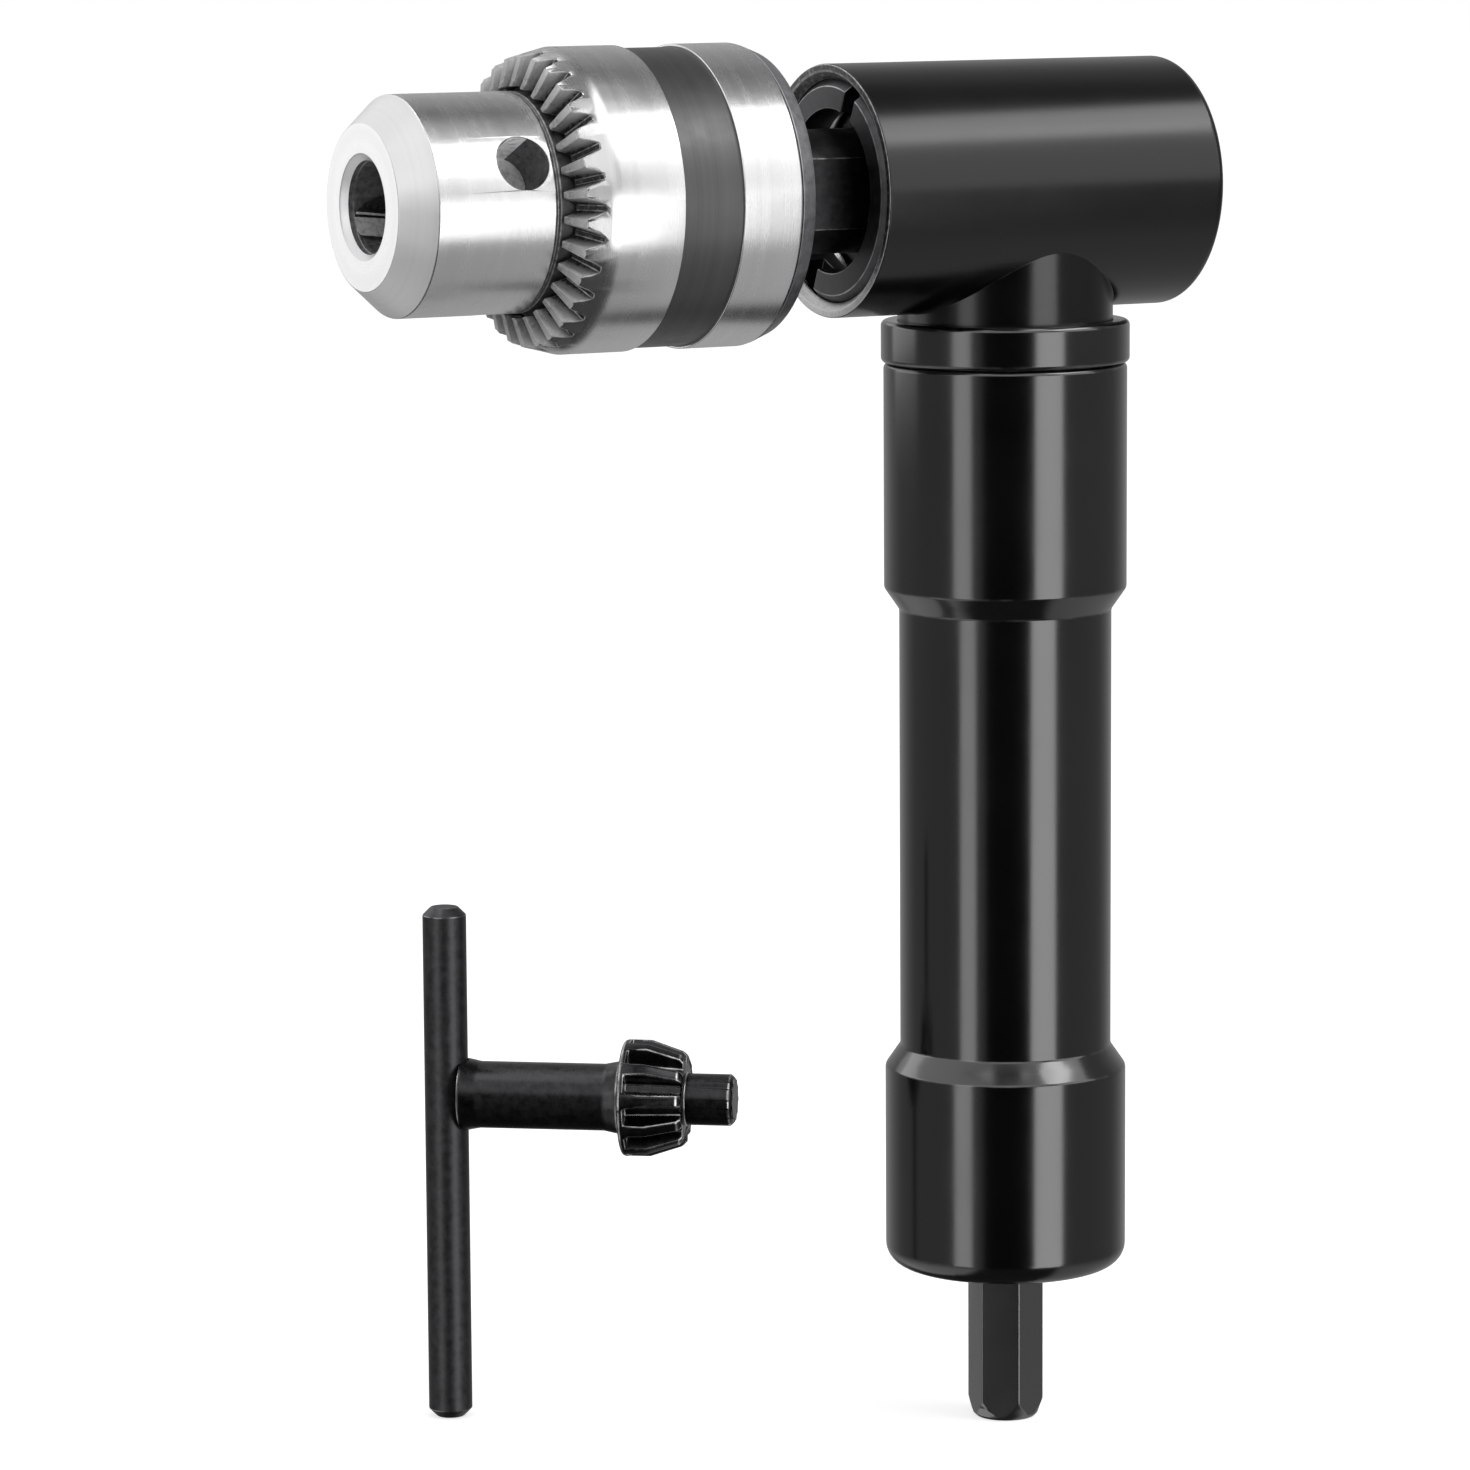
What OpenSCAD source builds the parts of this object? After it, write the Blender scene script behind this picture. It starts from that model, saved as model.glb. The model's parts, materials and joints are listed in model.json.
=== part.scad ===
// Right angle drill attachment: a bevel gear head on a round handle with a
// hexagon shank, a three jaw key chuck on its spindle, and the chuck's key
// standing beside it. The origin is the middle of the shank's tip, +Z runs
// up the handle and the chuck points along -X. The head is sized from its
// gears outward, and the chuck from its jaws outward.

/* [Bevel gears] */
// Number of teeth on each bevel gear
bevel_teeth = 16; // [14:1:20]
// Pitch radius of each bevel gear
bevel_pitch_r = 10; // [8.5:0.1:12]
// Depth of each gear behind its pitch circle
bevel_back = 1.5; // [1.2:0.1:2]
// Free play between the teeth
tooth_gap_width = 0.16; // [0.1:0.02:0.3]

/* [Head] */
// Gap between the gears' pitch circle and the wall of their chamber
chamber_gap = 2; // [1.6:0.1:3]
// Step that the front bearing seats on
front_step = 1; // [0.6:0.1:1.6]
// Wall round the front bearing
head_wall = 1.8; // [1.4:0.1:3]
// Thickness of the closed rear wall
rear_wall = 2.7; // [1.5:0.1:4]
// Rounding of the rear edge
rear_round = 1.3; // [0.6:0.1:2]
// Chamfer of the mouth's inner edge
mouth_chamfer = 0.9; // [0.3:0.1:1]
// Length of the ring nut in the mouth
ring_length = 4.5; // [3.5:0.1:6]
// From the mouth's rim to the ring nut's face
ring_sink = 0.25; // [0:0.05:1]
// Width of the ring nut's two slots
slot_width = 2.4; // [1.5:0.1:3.5]
// Wall of the neck round its bearing
neck_wall = 1.8; // [1.2:0.1:2]

/* [Handle] */
// Gap between the head's barrel and the collar
collar_gap = 1.1; // [0.6:0.1:5]
// Height of the collar
collar_height = 5.1; // [3:0.1:8]
// Wall of the collar round the neck
collar_wall = 2; // [1.6:0.1:4]
// How far the collar stands out from the handle
collar_lip = 0.3; // [0:0.05:1]
// Length of the neck inside the handle
neck_reach = 12; // [8:0.5:18]
// Length of the handle tube
handle_length = 109.5; // [90:0.5:150]
// Depth of the waist between the handle's two bands
waist_depth = 1.8; // [0.8:0.05:2.4]
// Height of the upper band
upper_band = 26.9; // [20:0.1:35]
// Height of the lower band
lower_band = 24.5; // [16:0.5:32]
// Height of the slope between a band and the waist
band_slope = 2.6; // [1:0.1:5]
// Rounding of the handle's lower edge
foot_round = 2.7; // [1:0.1:3.2]
// Step that the tail bearing seats on
tail_step = 1.5; // [1:0.1:5]
// Depth of the tail bearing's retaining ring in the handle's end
tail_recess = 3.5; // [2:0.1:6]

/* [Input shaft] */
// Radius of the round shaft
shaft_r = 4; // [3.5:0.1:4.4]
// Width of the hexagon shank across its flats
shank_width = 8; // [7:0.1:9.5]
// Length of the shank below the handle
shank_reach = 19; // [12:0.5:40]
// Height of the cone at the shank's tip
tip_height = 2.3; // [1:0.1:3]
// Turn of the shank's flats about its own axis
shank_turn = 20; // [0:1:60]

/* [Bearings] */
// From a small bearing's side to the face of the bearing next to it
bearing_gap = 0.5; // [0.2:0.1:1]
// Width of the front bearing
front_width = 8; // [7:0.1:9]
// Width of the three smaller bearings
small_width = 7; // [6:0.1:8]
// Number of balls in each bearing
balls = 7; // [6:1:8]
// Thickness of the retaining rings
clip_thickness = 1; // [0.8:0.1:1.2]

/* [Spindle] */
// Radius of the spindle in its front bearing
spindle_r = 5; // [4.4:0.1:5.6]
// Radius of the spindle's rear journal
journal_r = 4; // [3.4:0.1:4.4]
// Width of the spindle across its two spanner flats
flat_width = 12; // [11:0.1:13]
// Gap between the head and the chuck
chuck_gap = 10.75; // [8:0.25:16]
// Radius of the spindle's screwed end
thread_r = 4.7; // [4:0.05:5.4]
// Depth of the screwed end in the chuck
thread_depth = 15.2; // [12:0.1:17]

/* [Chuck] */
// Length of the chuck
chuck_length = 49; // [44:0.5:56]
// Length of the chuck body's rear flange
flange_length = 2; // [1.5:0.1:3]
// Length of the sleeve's round part
sleeve_length = 23; // [20:0.1:26]
// Wall of the sleeve
sleeve_wall = 1.5; // [1.2:0.1:2.5]
// Length of the split nut on the jaws
nut_length = 6; // [5:0.1:8]
// Wall of the split nut at the wide end of its cone
nut_wall = 2.8; // [2:0.1:4]
// From the split nut to the sleeve's slope
nut_shoulder = 1.5; // [1:0.1:3]
// Wall of the nose over the jaws in front of the nut
nose_wall = 0.91; // [0.6:0.01:2]
// Length of the cone on the nose
nose_cone = 3.6; // [2:0.1:4.5]
// Width of the cone on the nose
nose_cone_width = 3.1; // [1.5:0.1:3.5]
// Width between the open jaws' grip and the edge of the nose's hole
hole_gap = 0.3; // [0.2:0.05:0.8]
// Greatest tool radius that the open jaws let in
grip_open_r = 5; // [4.4:0.1:5.1]
// Smallest tool radius that the closed jaws grip
grip_closed_r = 0.4; // [0.3:0.1:1]
// Radius of each jaw
jaw_r = 3.3; // [2.8:0.05:3.8]
// Angle between a jaw and the chuck's axis
jaw_angle = 15; // [14:0.5:15.5]
// Radius of the key's pilot holes
pilot_hole_r = 3.2; // [2.7:0.05:3.7]
// From the sleeve's ring gear to the edge of the pilot holes
pilot_hole_gap = 1; // [0.6:0.1:2]
// Turn of the chuck's body about its own axis
chuck_turn = -6; // [-60:1:60]
// Number of teeth on the sleeve's ring gear
ring_teeth = 30; // [27:1:33]
// Width of the sleeve's dark band
band_width = 7.5; // [4:0.5:9]
// From the sleeve's rear edge to its band
band_set = 7.6; // [5:0.1:9]
// Depth of the sleeve's band
band_depth = 0.35; // [0.2:0.05:0.5]

/* [Chuck key] */
// Length of the key's cross bar
bar_length = 63; // [50:0.5:80]
// Radius of the key's cross bar
bar_r = 2.65; // [2.2:0.05:3.2]
// Height of the key's stem above the bar's foot
stem_height = 40; // [20:0.5:44]
// Length of the stem from the bar's axis to the gear
stem_length = 21.9; // [15:0.1:30]
// How far the stem stands out beside the cross bar
stem_wall = 1.4; // [1:0.1:2]
// Number of teeth on the key's gear
key_teeth = 11; // [10:1:13]
// Radius of the key's gear
key_gear_r = 7.05; // [6.4:0.05:8]
// Length of the key's gear
key_gear_length = 7.6; // [6:0.1:9]
// Length of the key's pilot
pilot_length = 5.9; // [4:0.1:7]
// Place of the key beside the tool, along X and Y
key_place = [-58.9, 33.4]; // [-80:0.1:60]
// Direction of the key's stem
key_turn = -37; // [-180:1:180]

/* [Hidden] */
$fn = 96;

// Clearances and small sizes that several pieces share
over = 1;
press_gap = 0.01;
slide_gap = 0.05;
seat_gap = 0.1;
edge = 0.4;
fine_edge = 0.25;

// Radii of the head, from its gears outward
gear_mount = bevel_pitch_r + bevel_back;
small_outer_r = gear_mount - bearing_gap;
chamber_r = bevel_pitch_r + chamber_gap;
front_outer_r = chamber_r + front_step;
head_r = front_outer_r + head_wall;
neck_r = small_outer_r + neck_wall;
collar_r = neck_r + collar_wall;
handle_r = collar_r - collar_lip;
waist_r = handle_r - waist_depth;
handle_bore_r = small_outer_r - tail_step;

// Shares that shape the bearings
front_ball_share = 0.2975;
small_ball_share = 0.283;
land_share = 0.62;
groove_share = 1.04;
cage_share = 0.34;
ball_gap = 0.02;
pocket_gap = 0.1;
cage_rim = 0.5;
race_edge = 0.3;
front_ball_r = front_ball_share * (front_outer_r - spindle_r);
small_ball_r = small_ball_share * (small_outer_r - shaft_r);

// Heights down the handle line, from the crossing of the axes
collar_drop = head_r + collar_gap;
handle_top = collar_drop + collar_height;
neck_drop = handle_top + neck_reach;
handle_end = handle_top + handle_length;
axis_height = handle_end + shank_reach;
tail_clip_top = handle_end - tail_recess;
tail_bearing_end = tail_clip_top - clip_thickness;
tail_bearing_top = tail_bearing_end - small_width;
neck_bearing_end = gear_mount + small_width;
small_pitch_r = (shaft_r + small_outer_r) / 2;
small_land_in = small_pitch_r - land_share * small_ball_r;

// Places along the chuck line, from the crossing of the axes
front_pitch_r = (spindle_r + front_outer_r) / 2;
front_land_in = front_pitch_r - land_share * front_ball_r;
front_land_out = front_pitch_r + land_share * front_ball_r;
front_bearing_end = gear_mount + front_width;
ring_face = front_bearing_end + ring_length;
head_front = ring_face + ring_sink;
rear_bearing_end = -chamber_r;
rear_pocket = rear_bearing_end - small_width;
head_back = rear_wall - rear_pocket;
chuck_back = head_front + chuck_gap;
nose_face = chuck_back + chuck_length;
sleeve_back = chuck_back + flange_length + slide_gap;
sleeve_front = sleeve_back + sleeve_length;
nut_end = sleeve_front - nut_shoulder;
nut_start = nut_end - nut_length;

// Retaining rings
clip_groove = 0.5;
clip_width = 2;
clip_gap_angle = 34;
clip_lug = 3;
clip_lug_hole_r = 0.8;
shaft_clip_depth = 0.2;
shaft_clip_width = 1.5;
clip_play = 0.05;

// The spindle's shoulder behind the chuck, and the front ring nut round it
spanner_r = front_land_in - fine_edge;
ring_hole_gap = 2.33;
ring_hole_r = spanner_r + ring_hole_gap;
ring_chamfer = 0.8;
ring_relief = 0.5;
slot_depth = 2.2;
slot_turn = -24;

// Bevel gear teeth: both gears have the same number, so their pitch cones
// stand at half a right angle and meet at the crossing of the axes
bevel_face_share = 0.3;
bevel_module = 2 * bevel_pitch_r / bevel_teeth;
cone_share = sin(45);
flat_r = bevel_pitch_r / cone_share;
flat_teeth = bevel_teeth / cone_share;
inner_pitch_r = bevel_pitch_r * (1 - bevel_face_share);
pressure_angle = 20;
base_r = flat_r * cos(pressure_angle);
tip_share = 0.92;
root_share = 1.2;
tip_over = bevel_module * tip_share;
root_under = bevel_module * root_share;
gap_overrun_share = 1.5;
boss_wall = 1.2;
gear_boss = 0.5;
key_width = 2;
key_depth = 1;
key_length_share = 0.6;
key_play = 0.02;
shield_thickness = 0.4;
shield_sink = 0.4;
shield_play = 0.3;
spacer_wall = 0.9;

// The shank's end and the spindle's screwed end
shoulder_share = 1.1;
thread_gap = 0.3;
thread_end = chuck_back + thread_depth - thread_gap;

// Jaws, and the split nut that drives them
jaw_reach = 3;
jaw_tip_offset = 0.6;
jaw_line_end = nose_face + jaw_reach;
jaw_length = jaw_line_end - (nut_start + nut_end) / 2;
jaw_slope = tan(jaw_angle);
jaw_skin = jaw_r / cos(jaw_angle);
jaw_travel = (grip_open_r - grip_closed_r) / sin(jaw_angle);
jaw_play = 0.05;
jaw_side_play = 0.1;
jaw_tooth_width = 2;
jaw_tooth_depth = 0.7;
jaw_teeth = 10;
tooth_shares = [0.35, 0.55, 0.9];
jaw_hole_end = 1.2;
jaw_directions = [0, 120, 240];
nut_floor = 0.15;
nut_split = 0.1;
nut_play = 0.1;

// Radii of the chuck, from its jaws outward
body_r = nut_cone_r(nut_start) + nut_wall - seat_gap;
sleeve_r = body_r + sleeve_wall;
nose_r = nut_cone_r(nut_end) + nose_wall;
nose_ring_r = nose_r - nose_cone_width;
nose_hole_r = grip_open_r + hole_gap;
sleeve_bore_r = body_r + seat_gap;
sleeve_nose_r = nose_r + seat_gap;
web_length = 6.3;
nose_bore_end = chuck_back + thread_depth + web_length;
nose_bore_step = 1.4;
nose_bore_less = 0.1;
pilot_floor_wall = 0.6;
nose_chamfer = 0.75;
nose_groove_depth = 0.25;
nose_groove_width = 0.6;
flange_step = 0.1;
flange_r = sleeve_r - flange_step;
flange_bevel = 0.8;
screw_r = 2.4;
screw_play = 0.05;
screw_head_r = 4.2;
screw_head = 2.6;
screw_reach = 10;
screw_socket = 4;
screw_socket_depth = 1.8;

// The sleeve's ring gear
gear_land = 4;
gear_land_in = 1;
gear_crown = 1.3;
gear_root_inner = 0.9;
gear_root_outer = 1.8;
gear_relief = 0.4;
gear_relief_depth = 2.4;
gear_flank = [[0.32, 0], [0.5, 0.3], [0.78, 0.75], [0.92, 1.2], [1.12, 1.6]];
gear_flank_end = [1.5, 4.2];
gear_groove_start = -90;
ring_gear_top = sleeve_front + gear_land + gear_crown;
pilot_hole_at = ring_gear_top + pilot_hole_gap + pilot_hole_r;

// The key
stem_r = bar_r + stem_wall;
pilot_play = 0.08;
pilot_r = pilot_hole_r - pilot_play;
bar_chamfer = 1;
stem_end = 1.9;
stem_flare = 0.4;
stem_flare_length = 2.4;
stem_pin_r = 1.5;
stem_pin_reach = 1.2;
key_flange = 0.7;
key_straight_share = 0.42;
key_front_step = 1.3;
key_front_round = 0.5;
key_root_back = 2.05;
key_root_front = 2.65;
key_groove_floor = 0.5;
key_groove_slope = 19;
pilot_chamfer = 0.5;

module at_crossing() {
    translate([0, 0, axis_height]) children();
}

// Local +Z runs out of the chuck's nose, and local +X runs up
module chuck_line() {
    at_crossing() rotate([0, -90, 0]) children();
}

// Local +Z runs down the handle
module handle_line() {
    at_crossing() rotate([180, 0, 0]) children();
}

// A round bar along +Z from low to high
module bar(r, low, high) {
    translate([0, 0, low]) cylinder(r = r, h = high - low);
}

// A ring along +Z from low to high
module ring(outer, inner, low, high) {
    difference() {
        bar(outer, low, high);
        bar(inner, low - over, high + over);
    }
}

// A cone along +Z from radius low_r at low to radius high_r at high
module cone(low_r, high_r, low, high) {
    translate([0, 0, low]) cylinder(r1 = low_r, r2 = high_r, h = high - low);
}

// A hexagon bar along +Z, its size given across its flats
module hex_bar(width, low, high) {
    translate([0, 0, low]) cylinder(r = width / 2 / cos(30), h = high - low, $fn = 6);
}

// A chamfer cut round the outside of a bar that ends at high
module outer_chamfer(r, size, high) {
    difference() {
        bar(r + over, high - size, high + over);
        cone(r + over, r - size - over, high - size - over, high + over);
    }
}

// A chamfer cut round the outside of a bar that starts at low
module lower_chamfer(r, size, low) {
    difference() {
        bar(r + over, low - over, low + size);
        cone(r - size - over, r + over, low - over, low + size + over);
    }
}

// A bar whose upper outer edge is round
module rounded_bar(r, low, high, round_r) {
    rotate_extrude() {
        translate([0, low]) square([r, high - low - round_r]);
        translate([0, low]) square([r - round_r, high - low]);
        translate([r - round_r, high - round_r]) circle(r = round_r);
    }
}

/* Bearings */

module race_outer(outer_r, pitch_r, ball_r, width) {
    land = pitch_r + land_share * ball_r;
    groove = ball_r * groove_share;
    rotate_extrude() difference() {
        polygon([
            [land, 0], [outer_r - race_edge, 0], [outer_r, race_edge],
            [outer_r, width - race_edge], [outer_r - race_edge, width], [land, width]
        ]);
        translate([pitch_r + ball_r + ball_gap - groove, width / 2]) circle(r = groove);
    }
}

module race_inner(inner_r, pitch_r, ball_r, width) {
    land = pitch_r - land_share * ball_r;
    groove = ball_r * groove_share;
    rotate_extrude() difference() {
        polygon([
            [inner_r + race_edge, 0], [land, 0], [land, width],
            [inner_r + race_edge, width], [inner_r, width - race_edge], [inner_r, race_edge]
        ]);
        translate([pitch_r - ball_r - ball_gap + groove, width / 2]) circle(r = groove);
    }
}

module ball_row(pitch_r, ball_r, width) {
    for (i = [0 : balls - 1])
        rotate([0, 0, i * 360 / balls]) translate([pitch_r, 0, width / 2]) sphere(r = ball_r, $fn = 32);
}

module ball_cage(pitch_r, ball_r, width) {
    half = ball_r + pocket_gap + cage_rim;
    difference() {
        ring(pitch_r + cage_share * ball_r, pitch_r - cage_share * ball_r,
             width / 2 - half, width / 2 + half);
        for (i = [0 : balls - 1])
            rotate([0, 0, i * 360 / balls]) translate([0, 0, width / 2]) rotate([0, 90, 0])
                bar(ball_r + pocket_gap, pitch_r - ball_r, pitch_r + ball_r);
    }
}

/* Retaining rings */

module clip_hub(outer_r, inner_r, lug_r, low, high) {
    lug_turn = clip_gap_angle / 2;
    difference() {
        union() {
            ring(outer_r, inner_r, low, high);
            for (side = [-1, 1])
                rotate([0, 0, side * lug_turn]) translate([lug_r, 0, low])
                    cylinder(r = clip_lug / 2, h = high - low);
        }
        for (side = [-1, 1])
            rotate([0, 0, side * lug_turn]) translate([lug_r, 0, 0])
                bar(clip_lug_hole_r, low - over, high + over);
        translate([0, 0, low - over]) linear_extrude(high - low + 2 * over)
            polygon([
                [0, 0],
                [2 * outer_r * cos(lug_turn / 2), 2 * outer_r * sin(lug_turn / 2)],
                [2 * outer_r * cos(lug_turn / 2), -2 * outer_r * sin(lug_turn / 2)]
            ]);
    }
}

// A ring that sits in a groove inside a bore
module bore_clip(bore_r, low) {
    outer = bore_r + clip_groove - clip_play;
    inner = outer - clip_width;
    intersection() {
        clip_hub(outer, inner, inner, low, low + clip_thickness);
        bar(outer, low - over, low + clip_thickness + over);
    }
}

/* Housing */

module head_housing() color([0.10, 0.10, 0.105]) difference() {
    union() {
        chuck_line() mirror([0, 0, 1]) rounded_bar(head_r, -head_front, head_back, rear_round);
        handle_line() bar(neck_r, 0, neck_drop);
    }
    chuck_line() {
        bar(small_outer_r + press_gap, rear_pocket, rear_bearing_end + over);
        bar(small_land_in + seat_gap, rear_pocket - edge, rear_pocket + over);
        bar(chamber_r, rear_bearing_end, gear_mount);
        bar(front_outer_r + press_gap, gear_mount, head_front + over);
        cone(front_outer_r + press_gap, front_outer_r + press_gap + mouth_chamfer + over,
             head_front - mouth_chamfer, head_front + over);
    }
    handle_line() {
        bar(small_outer_r + press_gap, bevel_pitch_r / 2, neck_drop + over);
        bar(small_outer_r + clip_groove, neck_bearing_end, neck_bearing_end + clip_thickness + clip_play);
        outer_chamfer(neck_r, edge, neck_drop);
    }
}

module handle_collar() color([0.09, 0.09, 0.095]) handle_line() difference() {
    bar(collar_r, collar_drop, handle_top);
    bar(neck_r + press_gap, collar_drop - over, handle_top + over);
    outer_chamfer(collar_r, edge, handle_top);
    lower_chamfer(collar_r, edge, collar_drop);
}

module handle_tube() color([0.09, 0.09, 0.095]) handle_line() difference() {
    rounded_bar(handle_r, handle_top, handle_end, foot_round);
    lower_chamfer(handle_r, edge, handle_top);
    waist_cut();
    bar(neck_r + press_gap, handle_top - over, neck_drop + seat_gap);
    bar(handle_bore_r, neck_drop, tail_bearing_top + over);
    bar(small_outer_r + press_gap, tail_bearing_top, handle_end + over);
    bar(small_outer_r + clip_groove, tail_bearing_end, tail_bearing_end + clip_thickness + clip_play);
}

// What is turned away between the handle's two bands
module waist_cut() {
    top = handle_top + upper_band;
    low = handle_end - lower_band;
    rotate_extrude() polygon([
        [handle_r, top], [waist_r, top + band_slope], [waist_r, low - band_slope], [handle_r, low],
        [handle_r + over, low + over], [handle_r + over, top - over]
    ]);
}

module front_ring_nut() color([0.30, 0.30, 0.31]) chuck_line() {
    difference() {
        ring(front_outer_r, ring_hole_r, front_bearing_end, ring_face);
        outer_chamfer(front_outer_r, ring_chamfer, ring_face);
        bar(front_land_out + ring_relief, front_bearing_end - over, front_bearing_end + ring_relief);
        rotate([0, 0, slot_turn])
            translate([-front_outer_r - over, -slot_width / 2, ring_face - slot_depth])
                cube([2 * (front_outer_r + over), slot_width, slot_depth + over]);
    }
}

module front_bearing_outer() color([0.75, 0.75, 0.77]) chuck_line() translate([0, 0, gear_mount])
    race_outer(front_outer_r, front_pitch_r, front_ball_r, front_width);

module front_bearing_inner() color([0.75, 0.75, 0.77]) chuck_line() translate([0, 0, gear_mount])
    race_inner(spindle_r + press_gap, front_pitch_r, front_ball_r, front_width);

module front_bearing_balls() color([0.85, 0.85, 0.87]) chuck_line() translate([0, 0, gear_mount])
    ball_row(front_pitch_r, front_ball_r, front_width);

module front_bearing_cage() color([0.65, 0.6, 0.4]) chuck_line() translate([0, 0, gear_mount])
    ball_cage(front_pitch_r, front_ball_r, front_width);

module front_bearing_shield() color([0.55, 0.55, 0.57]) chuck_line()
    ring(front_land_out - press_gap, front_land_in + shield_play,
         front_bearing_end - shield_sink - shield_thickness, front_bearing_end - shield_sink);

module rear_bearing_outer() color([0.75, 0.75, 0.77]) chuck_line() translate([0, 0, rear_pocket])
    race_outer(small_outer_r, small_pitch_r, small_ball_r, small_width);

module rear_bearing_inner() color([0.75, 0.75, 0.77]) chuck_line() translate([0, 0, rear_pocket])
    race_inner(journal_r + press_gap, small_pitch_r, small_ball_r, small_width);

module rear_bearing_balls() color([0.85, 0.85, 0.87]) chuck_line() translate([0, 0, rear_pocket])
    ball_row(small_pitch_r, small_ball_r, small_width);

module rear_bearing_cage() color([0.65, 0.6, 0.4]) chuck_line() translate([0, 0, rear_pocket])
    ball_cage(small_pitch_r, small_ball_r, small_width);

module neck_bearing_outer() color([0.75, 0.75, 0.77]) handle_line() translate([0, 0, gear_mount])
    race_outer(small_outer_r, small_pitch_r, small_ball_r, small_width);

module neck_bearing_inner() color([0.75, 0.75, 0.77]) handle_line() translate([0, 0, gear_mount])
    race_inner(shaft_r + press_gap, small_pitch_r, small_ball_r, small_width);

module neck_bearing_balls() color([0.85, 0.85, 0.87]) handle_line() translate([0, 0, gear_mount])
    ball_row(small_pitch_r, small_ball_r, small_width);

module neck_bearing_cage() color([0.65, 0.6, 0.4]) handle_line() translate([0, 0, gear_mount])
    ball_cage(small_pitch_r, small_ball_r, small_width);

module neck_bearing_clip() color([0.25, 0.25, 0.26]) handle_line()
    bore_clip(small_outer_r, neck_bearing_end);

module tail_bearing_outer() color([0.75, 0.75, 0.77]) handle_line() translate([0, 0, tail_bearing_top])
    race_outer(small_outer_r, small_pitch_r, small_ball_r, small_width);

module tail_bearing_inner() color([0.75, 0.75, 0.77]) handle_line() translate([0, 0, tail_bearing_top])
    race_inner(shaft_r + press_gap, small_pitch_r, small_ball_r, small_width);

module tail_bearing_balls() color([0.85, 0.85, 0.87]) handle_line() translate([0, 0, tail_bearing_top])
    ball_row(small_pitch_r, small_ball_r, small_width);

module tail_bearing_cage() color([0.65, 0.6, 0.4]) handle_line() translate([0, 0, tail_bearing_top])
    ball_cage(small_pitch_r, small_ball_r, small_width);

module tail_bearing_clip() color([0.25, 0.25, 0.26]) handle_line()
    bore_clip(small_outer_r, tail_bearing_end);

/* Bevel gears */

// Half the angle of a tooth at radius r of the flattened back cone
function roll(r) = acos(min(1, base_r / r));
function unroll(r) = tan(roll(r)) * 180 / PI - roll(r);
function tooth_half(r) = 90 / flat_teeth - tooth_gap_width / 4 / flat_r * 180 / PI
    + unroll(flat_r) - unroll(max(r, base_r));

// A point of the tooth's flank at height h over the pitch cone, carried
// through the crossing of the axes to the plane at distance far
function flank_r(h, far) = far * (bevel_pitch_r + h * cone_share) / (bevel_pitch_r - h * cone_share);
function flank_half(h) = tooth_half(flat_r + h) / cone_share;
function flank_point(h, turn, far) = flank_r(h, far) * [cos(turn), sin(turn)];

// One gear along +Z, its apex at the origin and its back at gear_mount
module bevel_gear(bore_r, phase) {
    back = gear_mount - gear_boss;
    tip_in = inner_pitch_r * (1 - tip_over * cone_share / bevel_pitch_r);
    rim = bevel_pitch_r + tip_over * cone_share;
    rim_at = bevel_pitch_r - tip_over * cone_share;
    tip_in_r = tip_in * rim / rim_at;
    fall = inner_pitch_r - tip_in;
    face = inner_pitch_r + fall;
    difference() {
        rotate_extrude() polygon([
            [bore_r, face], [tip_in_r - 2 * fall, face], [tip_in_r, tip_in],
            [rim, rim_at], [rim - (back - rim_at), back], [bore_r + boss_wall, back],
            [bore_r + boss_wall, gear_mount], [bore_r, gear_mount]
        ]);
        for (t = [0 : bevel_teeth - 1])
            tooth_gap(phase + t * 360 / bevel_teeth);
        keyway(bore_r, key_play);
    }
}

// The gap after the tooth at turn: a wedge that narrows to the apex
module tooth_gap(turn) {
    far = gear_mount;
    pitch = 360 / bevel_teeth;
    root_a = flank_point(-root_under, turn + flank_half(-root_under), far);
    tip_a = flank_point(tip_over, turn + flank_half(tip_over), far);
    root_b = flank_point(-root_under, turn + pitch - flank_half(-root_under), far);
    tip_b = flank_point(tip_over, turn + pitch - flank_half(tip_over), far);
    out_a = root_a + (tip_a - root_a) * gap_overrun_share;
    out_b = root_b + (tip_b - root_b) * gap_overrun_share;
    polyhedron([
        [0, 0, 0], [root_a[0], root_a[1], far], [out_a[0], out_a[1], far],
        [out_b[0], out_b[1], far], [root_b[0], root_b[1], far]
    ], [[4, 3, 2, 1], [0, 1, 2], [0, 2, 3], [0, 3, 4], [0, 4, 1]]);
}

// The slot for a key, and with no play the key itself
module keyway(bore_r, play) {
    back = gear_mount - gear_boss;
    low = back - (back - inner_pitch_r) * key_length_share;
    rotate([0, 0, 180]) translate([bore_r - key_depth - play, -key_width / 2 - play, low - play])
        cube([2 * key_depth + 2 * play, key_width + 2 * play, gear_mount - low + play]);
}

module pinion_gear() color([0.55, 0.55, 0.56]) handle_line()
    bevel_gear(shaft_r + press_gap, 180 / bevel_teeth);

module pinion_key() color([0.6, 0.6, 0.62]) handle_line() keyway(shaft_r, 0);

module output_gear() color([0.55, 0.55, 0.56]) chuck_line()
    bevel_gear(spindle_r + press_gap, 0);

module output_gear_key() color([0.6, 0.6, 0.62]) chuck_line() keyway(spindle_r, 0);

/* Input shaft */

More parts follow.
